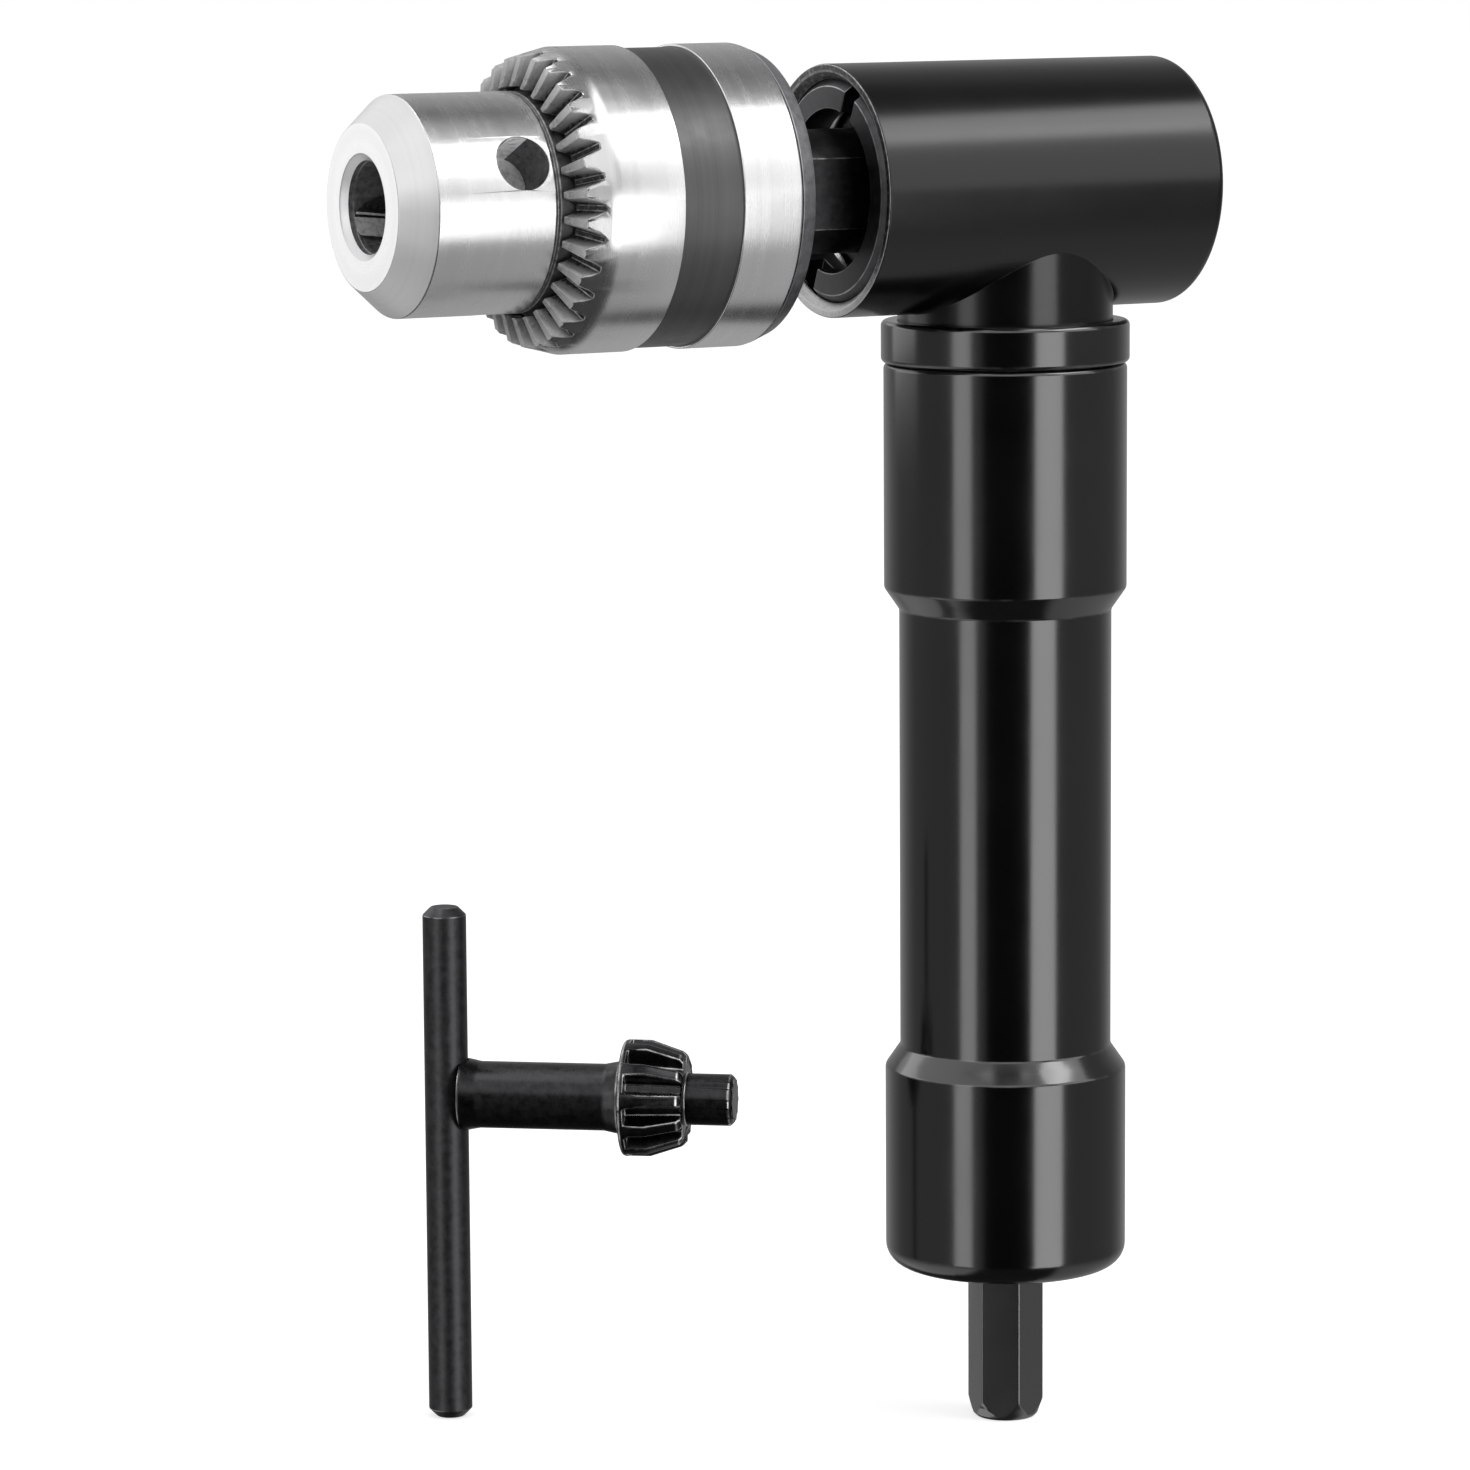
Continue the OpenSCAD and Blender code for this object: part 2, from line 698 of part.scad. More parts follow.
module input_shaft() color([0.13, 0.13, 0.135]) handle_line() {
    groove = neck_bearing_end;
    tip = axis_height;
    difference() {
        union() {
            bar(shaft_r, inner_pitch_r, tail_bearing_end + edge);
            rotate([0, 0, -shank_turn]) intersection() {
                hex_bar(shank_width, tail_bearing_end, tip);
                shank_cone(tip);
            }
        }
        ring(shaft_r + over, shaft_r - shaft_clip_depth, groove, groove + clip_thickness + clip_play);
        lower_chamfer(shaft_r, fine_edge, inner_pitch_r);
        keyway(shaft_r, key_play);
    }
}

// The turned envelope of the shank: a cone at its tip with a broken edge
module shank_cone(tip) {
    corner = shank_width / 2 / cos(30);
    shoulder = corner - (corner - shank_width / 2) * shoulder_share;
    rotate_extrude() polygon([
        [0, tail_bearing_end], [corner, tail_bearing_end], [corner, tip - tip_height],
        [shoulder, tip - edge], [shoulder - edge, tip], [0, tip]
    ]);
}

module shaft_clip() color([0.25, 0.25, 0.26]) handle_line() {
    low = neck_bearing_end;
    clip_hub(shaft_r + shaft_clip_width, shaft_r - shaft_clip_depth + clip_play,
             shaft_r + shaft_clip_width, low, low + clip_thickness);
}

/* Output spindle */

module output_spindle() color([0.14, 0.14, 0.145]) chuck_line() difference() {
    union() {
        bar(journal_r, rear_pocket + fine_edge, rear_bearing_end);
        bar(spindle_r, rear_bearing_end, front_bearing_end);
        bar(spanner_r, front_bearing_end, chuck_back);
        bar(thread_r, chuck_back - over, thread_end);
    }
    for (turn = [0, 180]) rotate([0, 0, turn])
        translate([-spanner_r - over, flat_width / 2, front_bearing_end + edge])
            cube([2 * (spanner_r + over), spanner_r, chuck_back - front_bearing_end]);
    outer_chamfer(spanner_r, fine_edge, chuck_back);
    keyway(spindle_r, key_play);
    bar(screw_r + screw_play, chuck_back + thread_depth - screw_reach - seat_gap, nose_face);
    outer_chamfer(thread_r, edge, thread_end);
    lower_chamfer(journal_r, fine_edge, rear_pocket + fine_edge);
}

module spindle_spacer() color([0.5, 0.5, 0.52]) chuck_line() {
    gear_face = inner_pitch_r * (1 + tip_over * cone_share / bevel_pitch_r);
    ring(spindle_r + spacer_wall, spindle_r + press_gap, rear_bearing_end, gear_face);
}

/* Chuck */

module chuck_frame() {
    chuck_line() rotate([0, 0, chuck_turn]) children();
}

// The middle line of a jaw: distance from the chuck's axis at a place s
function jaw_line(s) = jaw_tip_offset + (jaw_line_end - s) * jaw_slope;

// Puts a bar along +Z onto the jaw's line, its start at the line's front end
module on_jaw_line() {
    translate([jaw_tip_offset, 0, jaw_line_end]) rotate([0, 180 - jaw_angle, 0]) children();
}

module chuck_body() color([0.86, 0.86, 0.87]) chuck_frame() difference() {
    rotate_extrude() polygon([
        [0, chuck_back], [flange_r - flange_bevel, chuck_back],
        [flange_r, chuck_back + flange_length], [body_r, chuck_back + flange_length],
        [body_r, nut_start - nut_play], [nut_floor_r(nut_start), nut_start - nut_play],
        [nut_floor_r(nut_end), nut_end + nut_play], [nose_r, nut_end + nut_play],
        [nose_r, ring_gear_top], [nose_r - nose_groove_depth, ring_gear_top + nose_groove_width / 2],
        [nose_r, ring_gear_top + nose_groove_width],
        [nose_r, nose_face - nose_cone], [nose_ring_r, nose_face], [0, nose_face]
    ]);
    bar(thread_r + slide_gap, chuck_back - over, chuck_back + thread_depth);
    bar(screw_r + screw_play, chuck_back, nose_bore_end + over);
    bar(nose_hole_r - nose_bore_less, nose_bore_end, nose_face);
    bar(nose_hole_r, nose_face - nose_bore_step, nose_face + over);
    cone(nose_hole_r, nose_hole_r + nose_chamfer + over, nose_face - nose_chamfer, nose_face + over);
    for (turn = jaw_directions) {
        rotate([0, 0, turn]) intersection() {
            on_jaw_line() bar(jaw_r + jaw_play, 0, (jaw_line_end - chuck_back) / cos(jaw_angle) + over);
            bar(body_r + over, chuck_back + jaw_hole_end, nose_face - nose_bore_step);
        }
        rotate([0, 0, turn + 180]) translate([0, 0, pilot_hole_at]) rotate([0, 90, 0])
            bar(pilot_hole_r, nose_hole_r + pilot_floor_wall, nose_r + over);
    }
}

// Radius of the nut's screwed cone, and of the floor that it runs on
function nut_cone_r(s) = jaw_line(s) + jaw_skin + jaw_play;
function nut_floor_r(s) = nut_cone_r(s) - nut_floor;

module nut_ring() {
    outer = sleeve_bore_r - press_gap;
    rotate_extrude() polygon([
        [nut_cone_r(nut_start), nut_start], [outer, nut_start],
        [outer, nut_end], [nut_cone_r(nut_end), nut_end]
    ]);
}

module nut_half(side) {
    chuck_line() intersection() {
        nut_ring();
        translate([-body_r - over, side > 0 ? nut_split / 2 : -body_r - over - nut_split / 2, nut_start])
            cube([2 * (body_r + over), body_r + over, nut_length]);
    }
}

module nut_half_front() color([0.62, 0.6, 0.55]) nut_half(-1);

module nut_half_rear() color([0.62, 0.6, 0.55]) nut_half(1);

module chuck_sleeve() color([0.84, 0.84, 0.85]) chuck_line() {
    band_low = sleeve_back + band_set;
    band_high = band_low + band_width;
    crown = sleeve_front + gear_land;
    crown_r = sleeve_r - gear_land_in;
    top = ring_gear_top;
    top_r = sleeve_nose_r + gear_relief;
    shoulder = nut_end + nut_play;
    difference() {
        rotate_extrude() polygon([
            [sleeve_bore_r, sleeve_back], [sleeve_r - fine_edge, sleeve_back],
            [sleeve_r, sleeve_back + fine_edge], [sleeve_r, band_low],
            [sleeve_r - band_depth, band_low], [sleeve_r - band_depth, band_high],
            [sleeve_r, band_high], [sleeve_r, sleeve_front], [crown_r, crown],
            [top_r, top], [top_r, top - gear_relief_depth],
            [sleeve_nose_r, top - gear_relief_depth], [sleeve_nose_r, shoulder],
            [sleeve_bore_r, shoulder]
        ]);
        for (i = [0 : ring_teeth - 1]) rotate([0, 0, gear_groove_start + i * 360 / ring_teeth])
            ring_groove(crown, crown_r);
    }
}

// One groove of the ring gear along local +X. Its narrow root gets deeper away
// from the nose, and its flanks open out towards the tops of the teeth.
module ring_groove(crown, crown_r) {
    floor_in = [sleeve_nose_r - over, ring_gear_top - gear_root_inner];
    floor_out = [crown_r, crown - gear_root_outer];
    fall = atan2(floor_out[1] - floor_in[1], floor_out[0] - floor_in[0]);
    run = 2 * (sleeve_r - nose_r) + over;
    flank = concat(gear_flank, [gear_flank_end]);
    last = len(flank) - 1;
    translate([floor_in[0], 0, floor_in[1]]) rotate([0, -fall, 0]) rotate([90, 0, 90]) linear_extrude(run)
        polygon(concat(flank, [for (i = [0 : last]) [-flank[last - i][0], flank[last - i][1]]]));
}

// A jaw closed on the smallest tool: a bar on the jaw's line, trimmed to the
// gripping wedge in front and to the sleeve's bore behind
module jaw_closed() {
    tip = jaw_line_end;
    half = grip_closed_r * tan(60) - 2 * jaw_side_play;
    wide = body_r;
    intersection() {
        difference() {
            on_jaw_line() bar(jaw_r, -2 * jaw_r, jaw_length / cos(jaw_angle) + 2 * jaw_r);
            jaw_rack();
        }
        translate([0, 0, tip - jaw_length]) linear_extrude(jaw_length) polygon([
            [grip_closed_r, -half], [wide, -half - (wide - grip_closed_r) * tan(60)],
            [wide, half + (wide - grip_closed_r) * tan(60)], [grip_closed_r, half]
        ]);
        open_trim();
    }
}

// Keeps the jaw's rear end inside the sleeve when the jaws are open
module open_trim() {
    back = jaw_travel * cos(jaw_angle);
    out = jaw_travel * sin(jaw_angle);
    translate([-out, 0, back]) bar(body_r - seat_gap, 0, nose_face + jaw_reach);
}

// The screw thread's teeth on the back of the jaw
module jaw_rack() {
    start = (jaw_length - edge) / cos(jaw_angle) - jaw_teeth * jaw_tooth_width;
    rows = tooth_shares * jaw_tooth_width;
    on_jaw_line() for (i = [0 : jaw_teeth - 1]) translate([jaw_r, 0, start + i * jaw_tooth_width])
        rotate([90, 0, 0]) translate([0, 0, -jaw_r]) linear_extrude(2 * jaw_r) polygon([
            [-jaw_tooth_depth, rows[0]], [-jaw_tooth_depth, rows[1]],
            [over, rows[2] + over / 2], [over, -over / 2]
        ]);
}

module jaw(turn) {
    back = jaw_travel * cos(jaw_angle);
    out = jaw_travel * sin(jaw_angle);
    chuck_frame() rotate([0, 0, turn]) translate([out, 0, -back]) jaw_closed();
}

module jaw_one() color([0.5, 0.5, 0.52]) jaw(jaw_directions[0]);

module jaw_two() color([0.5, 0.5, 0.52]) jaw(jaw_directions[1]);

module jaw_three() color([0.5, 0.5, 0.52]) jaw(jaw_directions[2]);

module chuck_screw() color([0.2, 0.2, 0.21]) chuck_frame() difference() {
    union() {
        bar(screw_head_r, nose_bore_end, nose_bore_end + screw_head);
        bar(screw_r, chuck_back + thread_depth - screw_reach, nose_bore_end + over);
    }
    hex_bar(screw_socket, nose_bore_end + screw_head - screw_socket_depth, nose_bore_end + screw_head + over);
    outer_chamfer(screw_head_r, edge, nose_bore_end + screw_head);
}

/* Chuck key */

// Local +X runs along the key's stem, and local +Z up its bar
module key_frame() {
    translate([key_place[0], key_place[1], 0]) rotate([0, 0, key_turn]) children();
}

module key_bar() color([0.12, 0.12, 0.125]) key_frame() difference() {
    bar(bar_r, 0, bar_length);
    outer_chamfer(bar_r, bar_chamfer, bar_length);
    lower_chamfer(bar_r, bar_chamfer, 0);
    at_stem() bar(stem_pin_r + press_gap, -stem_pin_reach - press_gap, bar_r + over);
}

// Local +Z runs along the key's stem from the bar's axis
module at_stem() {
    translate([0, 0, stem_height]) rotate([0, 90, 0]) children();
}

// The stem's end is hollowed to sit on the bar, and its pin goes into the bar
module key_shank() color([0.12, 0.12, 0.125]) key_frame() {
    back = stem_length;
    front = back + key_gear_length;
    front_r = key_gear_r - key_front_step;
    end = front + pilot_length;
    difference() {
        at_stem() difference() {
            rotate_extrude() polygon([
                [0, stem_end], [stem_r + stem_flare, stem_end],
                [stem_r + stem_flare, stem_end + edge], [stem_r, stem_end + stem_flare_length],
                [stem_r, back - stem_flare_length], [stem_r + stem_flare, back - edge],
                [stem_r + 2 * stem_flare, back],
                [key_gear_r - fine_edge, back], [key_gear_r, back + fine_edge],
                [key_gear_r, back + key_gear_length * key_straight_share],
                [front_r, front - key_front_round], [front_r - key_front_round, front],
                [pilot_r, front], [pilot_r, end - pilot_chamfer], [pilot_r - pilot_chamfer, end], [0, end]
            ]);
            for (i = [0 : key_teeth - 1]) rotate([0, 0, (i + 0.5) * 360 / key_teeth])
                key_groove(back + key_flange, front);
        }
        bar(bar_r + press_gap, stem_height - 2 * stem_r, stem_height + 2 * stem_r);
    }
    at_stem() bar(stem_pin_r, -stem_pin_reach, back);
}

// One groove of the key's gear, open in front and closed by the rear flange
module key_groove(low, high) {
    rise = atan2(key_root_front - key_root_back, high - low);
    deep = key_root_front + over;
    half = key_groove_floor + deep * tan(key_groove_slope);
    translate([key_gear_r - key_root_back, 0, low]) rotate([0, -rise, 0]) rotate([0, 0, 90])
        linear_extrude(2 * (high - low)) polygon([
            [-key_groove_floor, 0], [key_groove_floor, 0], [half, -deep], [-half, -deep]
        ]);
}

head_housing();
handle_collar();
handle_tube();
front_ring_nut();
front_bearing_outer();
front_bearing_shield();
rear_bearing_outer();
neck_bearing_outer();
neck_bearing_clip();
tail_bearing_outer();
tail_bearing_clip();
input_shaft();
pinion_gear();
pinion_key();
neck_bearing_inner();
shaft_clip();
tail_bearing_inner();
output_spindle();
output_gear();
output_gear_key();
spindle_spacer();
front_bearing_inner();
rear_bearing_inner();
chuck_body();
chuck_screw();
chuck_sleeve();
nut_half_front();
nut_half_rear();
jaw_one();
jaw_two();
jaw_three();
front_bearing_balls();
front_bearing_cage();
rear_bearing_balls();
rear_bearing_cage();
neck_bearing_balls();
neck_bearing_cage();
tail_bearing_balls();
tail_bearing_cage();
key_shank();
key_bar();
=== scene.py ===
"""Right angle drill attachment: rounded edges, finishes, studio and camera.

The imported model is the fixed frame. The pieces that show get a copy with
rounded, worn edges, and every other piece gets a finish of its own. The
origin is the middle of the shank's tip, +Z runs up the handle and the chuck
points along -X. All lengths are in metres, apart from those named in mm.
"""

import json
import math

import bmesh
import bpy
from mathutils import Matrix, Vector

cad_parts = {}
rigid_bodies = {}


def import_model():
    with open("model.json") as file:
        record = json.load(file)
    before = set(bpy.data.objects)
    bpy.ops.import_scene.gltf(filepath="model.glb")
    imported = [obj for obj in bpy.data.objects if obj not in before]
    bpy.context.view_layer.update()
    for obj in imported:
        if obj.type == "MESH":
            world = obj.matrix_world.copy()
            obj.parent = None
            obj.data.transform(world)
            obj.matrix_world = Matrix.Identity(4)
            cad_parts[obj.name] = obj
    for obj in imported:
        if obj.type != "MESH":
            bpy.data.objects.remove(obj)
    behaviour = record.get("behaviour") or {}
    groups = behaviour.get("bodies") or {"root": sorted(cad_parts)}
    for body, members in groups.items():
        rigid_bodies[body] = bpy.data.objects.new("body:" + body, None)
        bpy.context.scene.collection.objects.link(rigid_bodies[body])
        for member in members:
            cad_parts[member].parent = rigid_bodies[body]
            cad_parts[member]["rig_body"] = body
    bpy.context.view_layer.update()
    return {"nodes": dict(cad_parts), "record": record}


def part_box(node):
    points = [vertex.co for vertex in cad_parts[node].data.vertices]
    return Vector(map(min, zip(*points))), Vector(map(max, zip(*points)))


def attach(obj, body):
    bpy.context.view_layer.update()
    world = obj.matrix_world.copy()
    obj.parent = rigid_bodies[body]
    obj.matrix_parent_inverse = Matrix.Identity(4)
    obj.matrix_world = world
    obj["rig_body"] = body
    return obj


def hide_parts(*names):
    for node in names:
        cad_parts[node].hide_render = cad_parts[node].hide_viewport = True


bl_info = {
    "name": "Right Angle Drill Attachment",
    "version": (1, 0, 0),
    "blender": (4, 5, 0),
    "location": "View3D > Sidebar > Drill",
    "description": "Dresses a right angle drill attachment with rounded edges and finishes",
    "category": "Object",
}

MM = 0.001

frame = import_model()


def mount(name):
    """A mount of the record: its place in the row frame and its direction."""
    found = next(m for m in frame["record"]["mounts"] if m["name"] == name)
    return Vector(found["pos_m"]), Vector(found["axis"])


# The tool's two lines, and places read from the frame
CHUCK_AXIS = Vector((-1, 0, 0))
HANDLE_AXIS = Vector((0, 0, 1))
NOSE = mount("tool_socket")[0]
CROSSING = Vector((0, 0, NOSE.z))
KEY_PLACE, KEY_AXIS = mount("key_pilot")
KEY_HOLES = [mount(name) for name in ("key_hole_lower", "key_hole_near", "key_hole_far")]
SLEEVE_LOW, SLEEVE_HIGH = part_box("chuck_sleeve")
SLEEVE_BACK = -SLEEVE_HIGH.x
SLEEVE_TOP = -SLEEVE_LOW.x
SLEEVE_R = SLEEVE_HIGH.y
FLANGE_BACK = -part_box("chuck_body")[1].x
MOUTH = -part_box("head_housing")[0].x

# Where the chuck body's finishes change, along the chuck's line and away from it
FLANGE_FRONT = FLANGE_BACK + 2.4 * MM
SEAT_TOP = SLEEVE_TOP + 0.3 * MM
SEAT_R = 10 * MM
CONE_LOW = SLEEVE_TOP + 5 * MM
BORE_R = 7 * MM
# The inside of the body, whose edges stay sharp because the jaws pass them
INSIDE_R = 8 * MM
INSIDE_TOP = -NOSE.x - 0.5 * MM
# The blind pilot holes that the key goes into
HOLE_R = 3.3 * MM
HOLE_FLOOR = 5.8 * MM
HOLE_TOP = 12.6 * MM

# Where the sleeve's finishes change
BAND_LOW = SLEEVE_BACK + 7.6 * MM
BAND_HIGH = BAND_LOW + 7.5 * MM
BAND_DEEP = SLEEVE_R - 0.5 * MM
BAND_SHALLOW = SLEEVE_R - 0.1 * MM
GEAR_LOW = SLEEVE_TOP - 5.3 * MM
# The direction of the lands between the gear's grooves, and how near it they face
LAND = Vector((0.25, 1)).normalized()
LAND_NEAR = 0.97
# The line of the gear's roots: where it leaves the nose, how it falls outward,
# and how far up the teeth its painted shade reaches
ROOT_R = 12.9 * MM
ROOT_AT_NOSE = SLEEVE_TOP - 0.9 * MM
ROOT_FALL = 0.61
ROOT_SHADE = 0.9 * MM
# How far from the axis the crests of the teeth turn bright, in mm
CREST_FOOT_MM, CREST_TOP_MM = 14.2, 16.2

# The seam between neck and barrel, and the rim of the mouth with its worn foot, which also gets painted
# light
SEAM_LOW = CROSSING.z - 15 * MM
SEAM_TOP = CROSSING.z - 3 * MM
SEAM_IN, SEAM_OUT = 12 * MM, 13 * MM
RIM_BACK = MOUTH - 1.2 * MM
FOOT_TOP = CROSSING.z - 6 * MM
FOOT_LOW = CROSSING.z - 12 * MM


# Settings


class DrillFinishes(bpy.types.PropertyGroup):
    """Roundings and colours of the attachment."""

    edge_round: bpy.props.FloatProperty(
        name="Edge rounding", description="Width of the rounding on machined edges",
        default=0.22 * MM, min=0.02 * MM, max=0.6 * MM, subtype="DISTANCE", precision=5)
    saddle_round: bpy.props.FloatProperty(
        name="Saddle rounding", description="Width of the fillet where the neck meets the head",
        default=0.7 * MM, min=0.1 * MM, max=1.5 * MM, subtype="DISTANCE", precision=5)
    fine_round: bpy.props.FloatProperty(
        name="Fine rounding", description="Width of the rounding on gear teeth, slots and holes",
        default=0.12 * MM, min=0.02 * MM, max=0.3 * MM, subtype="DISTANCE", precision=5)
    wear: bpy.props.FloatProperty(
        name="Wear", description="How much of the edges is rubbed bare",
        default=0.5, min=0, max=1, subtype="FACTOR")
    black: bpy.props.FloatVectorProperty(
        name="Black finish", description="Colour of the head, the collar and the handle",
        default=(0.0012, 0.0012, 0.0013), size=3, min=0, max=1, subtype="COLOR")
    oxide: bpy.props.FloatVectorProperty(
        name="Black oxide", description="Colour of the spindle, the ring nut and the key",
        default=(0.045, 0.045, 0.047), size=3, min=0, max=1, subtype="COLOR")
    steel: bpy.props.FloatVectorProperty(
        name="Polished steel", description="Colour of the chuck",
        default=(0.78, 0.78, 0.785), size=3, min=0, max=1, subtype="COLOR")
    band: bpy.props.FloatVectorProperty(
        name="Band", description="Colour of the sleeve's recessed band",
        default=(0.115, 0.115, 0.116), size=3, min=0, max=1, subtype="COLOR")
    teeth: bpy.props.FloatVectorProperty(
        name="Ring gear", description="Colour of the teeth of the sleeve's ring gear",
        default=(0.34, 0.34, 0.34), size=3, min=0, max=1, subtype="COLOR")
    grey_steel: bpy.props.FloatVectorProperty(
        name="Grey steel", description="Colour of gears, jaws and split nut",
        default=(0.33, 0.33, 0.335), size=3, min=0, max=1, subtype="COLOR")
    brass: bpy.props.FloatVectorProperty(
        name="Brass", description="Colour of the ball cages",
        default=(0.62, 0.47, 0.22), size=3, min=0, max=1, subtype="COLOR")


class DrillStudio(bpy.types.PropertyGroup):
    """Camera, lamps and floor."""

    lens: bpy.props.FloatProperty(
        name="Lens", description="Focal length on a sensor 36 mm wide",
        default=149.1, min=35, max=300, unit="CAMERA")
    distance: bpy.props.FloatProperty(
        name="Distance", description="From the crossing of the tool's axes to the camera, along its view",
        default=0.7215, min=0.3, max=3, subtype="DISTANCE")
    left_light: bpy.props.FloatProperty(
        name="Left light", description="Brightness of the softbox to the left of the camera",
        default=1.6, min=0, max=50)
    nose_light: bpy.props.FloatProperty(
        name="Nose light", description="Brightness of the small panel that the nose's face reflects",
        default=1.0, min=0, max=50)
    right_light: bpy.props.FloatProperty(
        name="Right light", description="Brightness of the softbox to the right of the camera",
        default=2.3, min=0, max=50)
    side_light: bpy.props.FloatProperty(
        name="Side light", description="Brightness of the wide panel that the chuck reflects",
        default=1.1, min=0, max=50)
    top_light: bpy.props.FloatProperty(
        name="Top light", description="Brightness of the narrow light over the head",
        default=3.6, min=0, max=50)
    room: bpy.props.FloatProperty(
        name="Room", description="Brightness of the room as it lights matt surfaces",
        default=0.5, min=0, max=2)
    cards: bpy.props.FloatProperty(
        name="Grey cards", description="Brightness of the cards round the tool, which gloss shows",
        default=0.2, min=0, max=1)
    floor: bpy.props.FloatVectorProperty(
        name="Floor", description="Colour of the floor",
        default=(0.9, 0.9, 0.9), size=3, min=0, max=1, subtype="COLOR")


# Node tools


def add(tree, kind, inputs=None, **settings):
    """A node with its settings, and its inputs set or linked by name or number."""
    made = tree.nodes.new(kind)
    for key, value in settings.items():
        setattr(made, key, value)
    for key, value in (inputs or {}).items():
        if isinstance(value, bpy.types.NodeSocket):
            tree.links.new(value, made.inputs[key])
        else:
            made.inputs[key].default_value = value
    return made


def maths(tree, operation, *values, clamp=False):
    """The result of a Math node."""
    return add(tree, "ShaderNodeMath", dict(enumerate(values)),
               operation=operation, use_clamp=clamp).outputs[0]


def vectors(tree, operation, *values):
    """A Vector Math node."""
    return add(tree, "ShaderNodeVectorMath", dict(enumerate(values)), operation=operation)


def dot(tree, first, second):
    """The dot product of two vectors."""
    return vectors(tree, "DOT_PRODUCT", first, second).outputs["Value"]


def span(tree, value, low, high, to_low=0.0, to_high=1.0):
    """A value carried from one range to another, held at the ends."""
    return add(tree, "ShaderNodeMapRange", {
        "Value": value, "From Min": low, "From Max": high, "To Min": to_low, "To Max": to_high,
    }).outputs["Result"]


def lean(tree, value, share, other):
    """A value brought towards another by a share."""
    step = maths(tree, "MULTIPLY", share, maths(tree, "SUBTRACT", other, value))
    return maths(tree, "ADD", value, step)


def broken_up(tree, value, patches, amount, clamp=False):
    """A value made uneven by patches, up and down by half the amount."""
    spread = maths(tree, "MULTIPLY", maths(tree, "SUBTRACT", patches, 0.5), amount)
    return maths(tree, "ADD", value, spread, clamp=clamp)


def noise(tree, vector, scale, detail=2.0, rough=0.5):
    """The value of a noise texture."""
    return add(tree, "ShaderNodeTexNoise", {
        "Vector": vector, "Scale": scale, "Detail": detail, "Roughness": rough,
    }).outputs["Fac"]


def lines(tree, place, scale, detail):
    """The value of a noise that changes along one number only."""
    return add(tree, "ShaderNodeTexNoise", {"W": place, "Scale": scale, "Detail": detail},
               noise_dimensions="1D").outputs["Fac"]


def group(name, inputs, outputs):
    """A shader node group with named sockets, made once.

    Returns the group, its input and output nodes, and whether it is new.
    """
    if name in bpy.data.node_groups:
        return bpy.data.node_groups[name], None, None, False
    tree = bpy.data.node_groups.new(name, "ShaderNodeTree")
    for label, kind, value in inputs:
        socket = tree.interface.new_socket(label, in_out="INPUT", socket_type=kind)
        if value is not None:
            socket.default_value = value
    for label, kind in outputs:
        tree.interface.new_socket(label, in_out="OUTPUT", socket_type=kind)
    return tree, tree.nodes.new("NodeGroupInput"), tree.nodes.new("NodeGroupOutput"), True


def axis_group():
    """Distance along and away from an axis, in millimetres."""
    tree, start, end, new = group(
        "Axis coordinates",
        [("Position", "NodeSocketVector", None), ("Origin", "NodeSocketVector", None),
         ("Axis", "NodeSocketVector", None)],
        [("Along", "NodeSocketFloat"), ("Away", "NodeSocketFloat")])
    if new:
        part = vectors(tree, "SUBTRACT", start.outputs["Position"], start.outputs["Origin"]).outputs[0]
        run = dot(tree, part, start.outputs["Axis"])
        on_axis = add(tree, "ShaderNodeVectorMath", {0: start.outputs["Axis"], "Scale": run},
                      operation="SCALE").outputs[0]
        off_axis = vectors(tree, "SUBTRACT", part, on_axis).outputs[0]
        away = vectors(tree, "LENGTH", off_axis).outputs["Value"]
        for label, value in (("Along", run), ("Away", away)):
            tree.links.new(maths(tree, "DIVIDE", value, MM), end.inputs[label])
    return tree


# Turned marks: how much closer the rings of a facing cut lie, how many broad
# rings a millimetre has, and the fine rings' share in the shade
FACING_RATIO = 1.37
BROAD_RINGS = 0.55
FINE_SHARE = 0.45


def turned_group():
    """Marks of a turning tool: rings along and away from the axis."""
    tree, start, end, new = group(
        "Turned marks",
        [("Along", "NodeSocketFloat", 0.0), ("Away", "NodeSocketFloat", 0.0),
         ("Marks per mm", "NodeSocketFloat", 6.0)],
        [("Height", "NodeSocketFloat"), ("Shade", "NodeSocketFloat")])
    if new:
        place = maths(tree, "ADD", start.outputs["Along"],
                      maths(tree, "MULTIPLY", start.outputs["Away"], FACING_RATIO))
        fine = lines(tree, place, start.outputs["Marks per mm"], 3)
        broad = lines(tree, place, BROAD_RINGS, 2)
        shade = maths(tree, "ADD", maths(tree, "MULTIPLY", fine, FINE_SHARE),
                      maths(tree, "MULTIPLY", broad, 1 - FINE_SHARE))
        tree.links.new(fine, end.inputs["Height"])
        tree.links.new(shade, end.inputs["Shade"])
    return tree


def wear_group():
    """Where an edge is rubbed bare: the edge mark broken up by noise."""
    tree, start, end, new = group(
        "Edge wear",
        [("Edge", "NodeSocketFloat", 0.0), ("Position", "NodeSocketVector", None),
         ("Amount", "NodeSocketFloat", 0.5), ("Patches per metre", "NodeSocketFloat", 700.0)],
        [("Mask", "NodeSocketFloat")])
    if new:
        patch = noise(tree, start.outputs["Position"], start.outputs["Patches per metre"], 3)
        spread = broken_up(tree, start.outputs["Amount"], patch, 2.2)
        mask = maths(tree, "MULTIPLY", start.outputs["Edge"], spread, clamp=True)
        tree.links.new(mask, end.inputs["Mask"])
    return tree


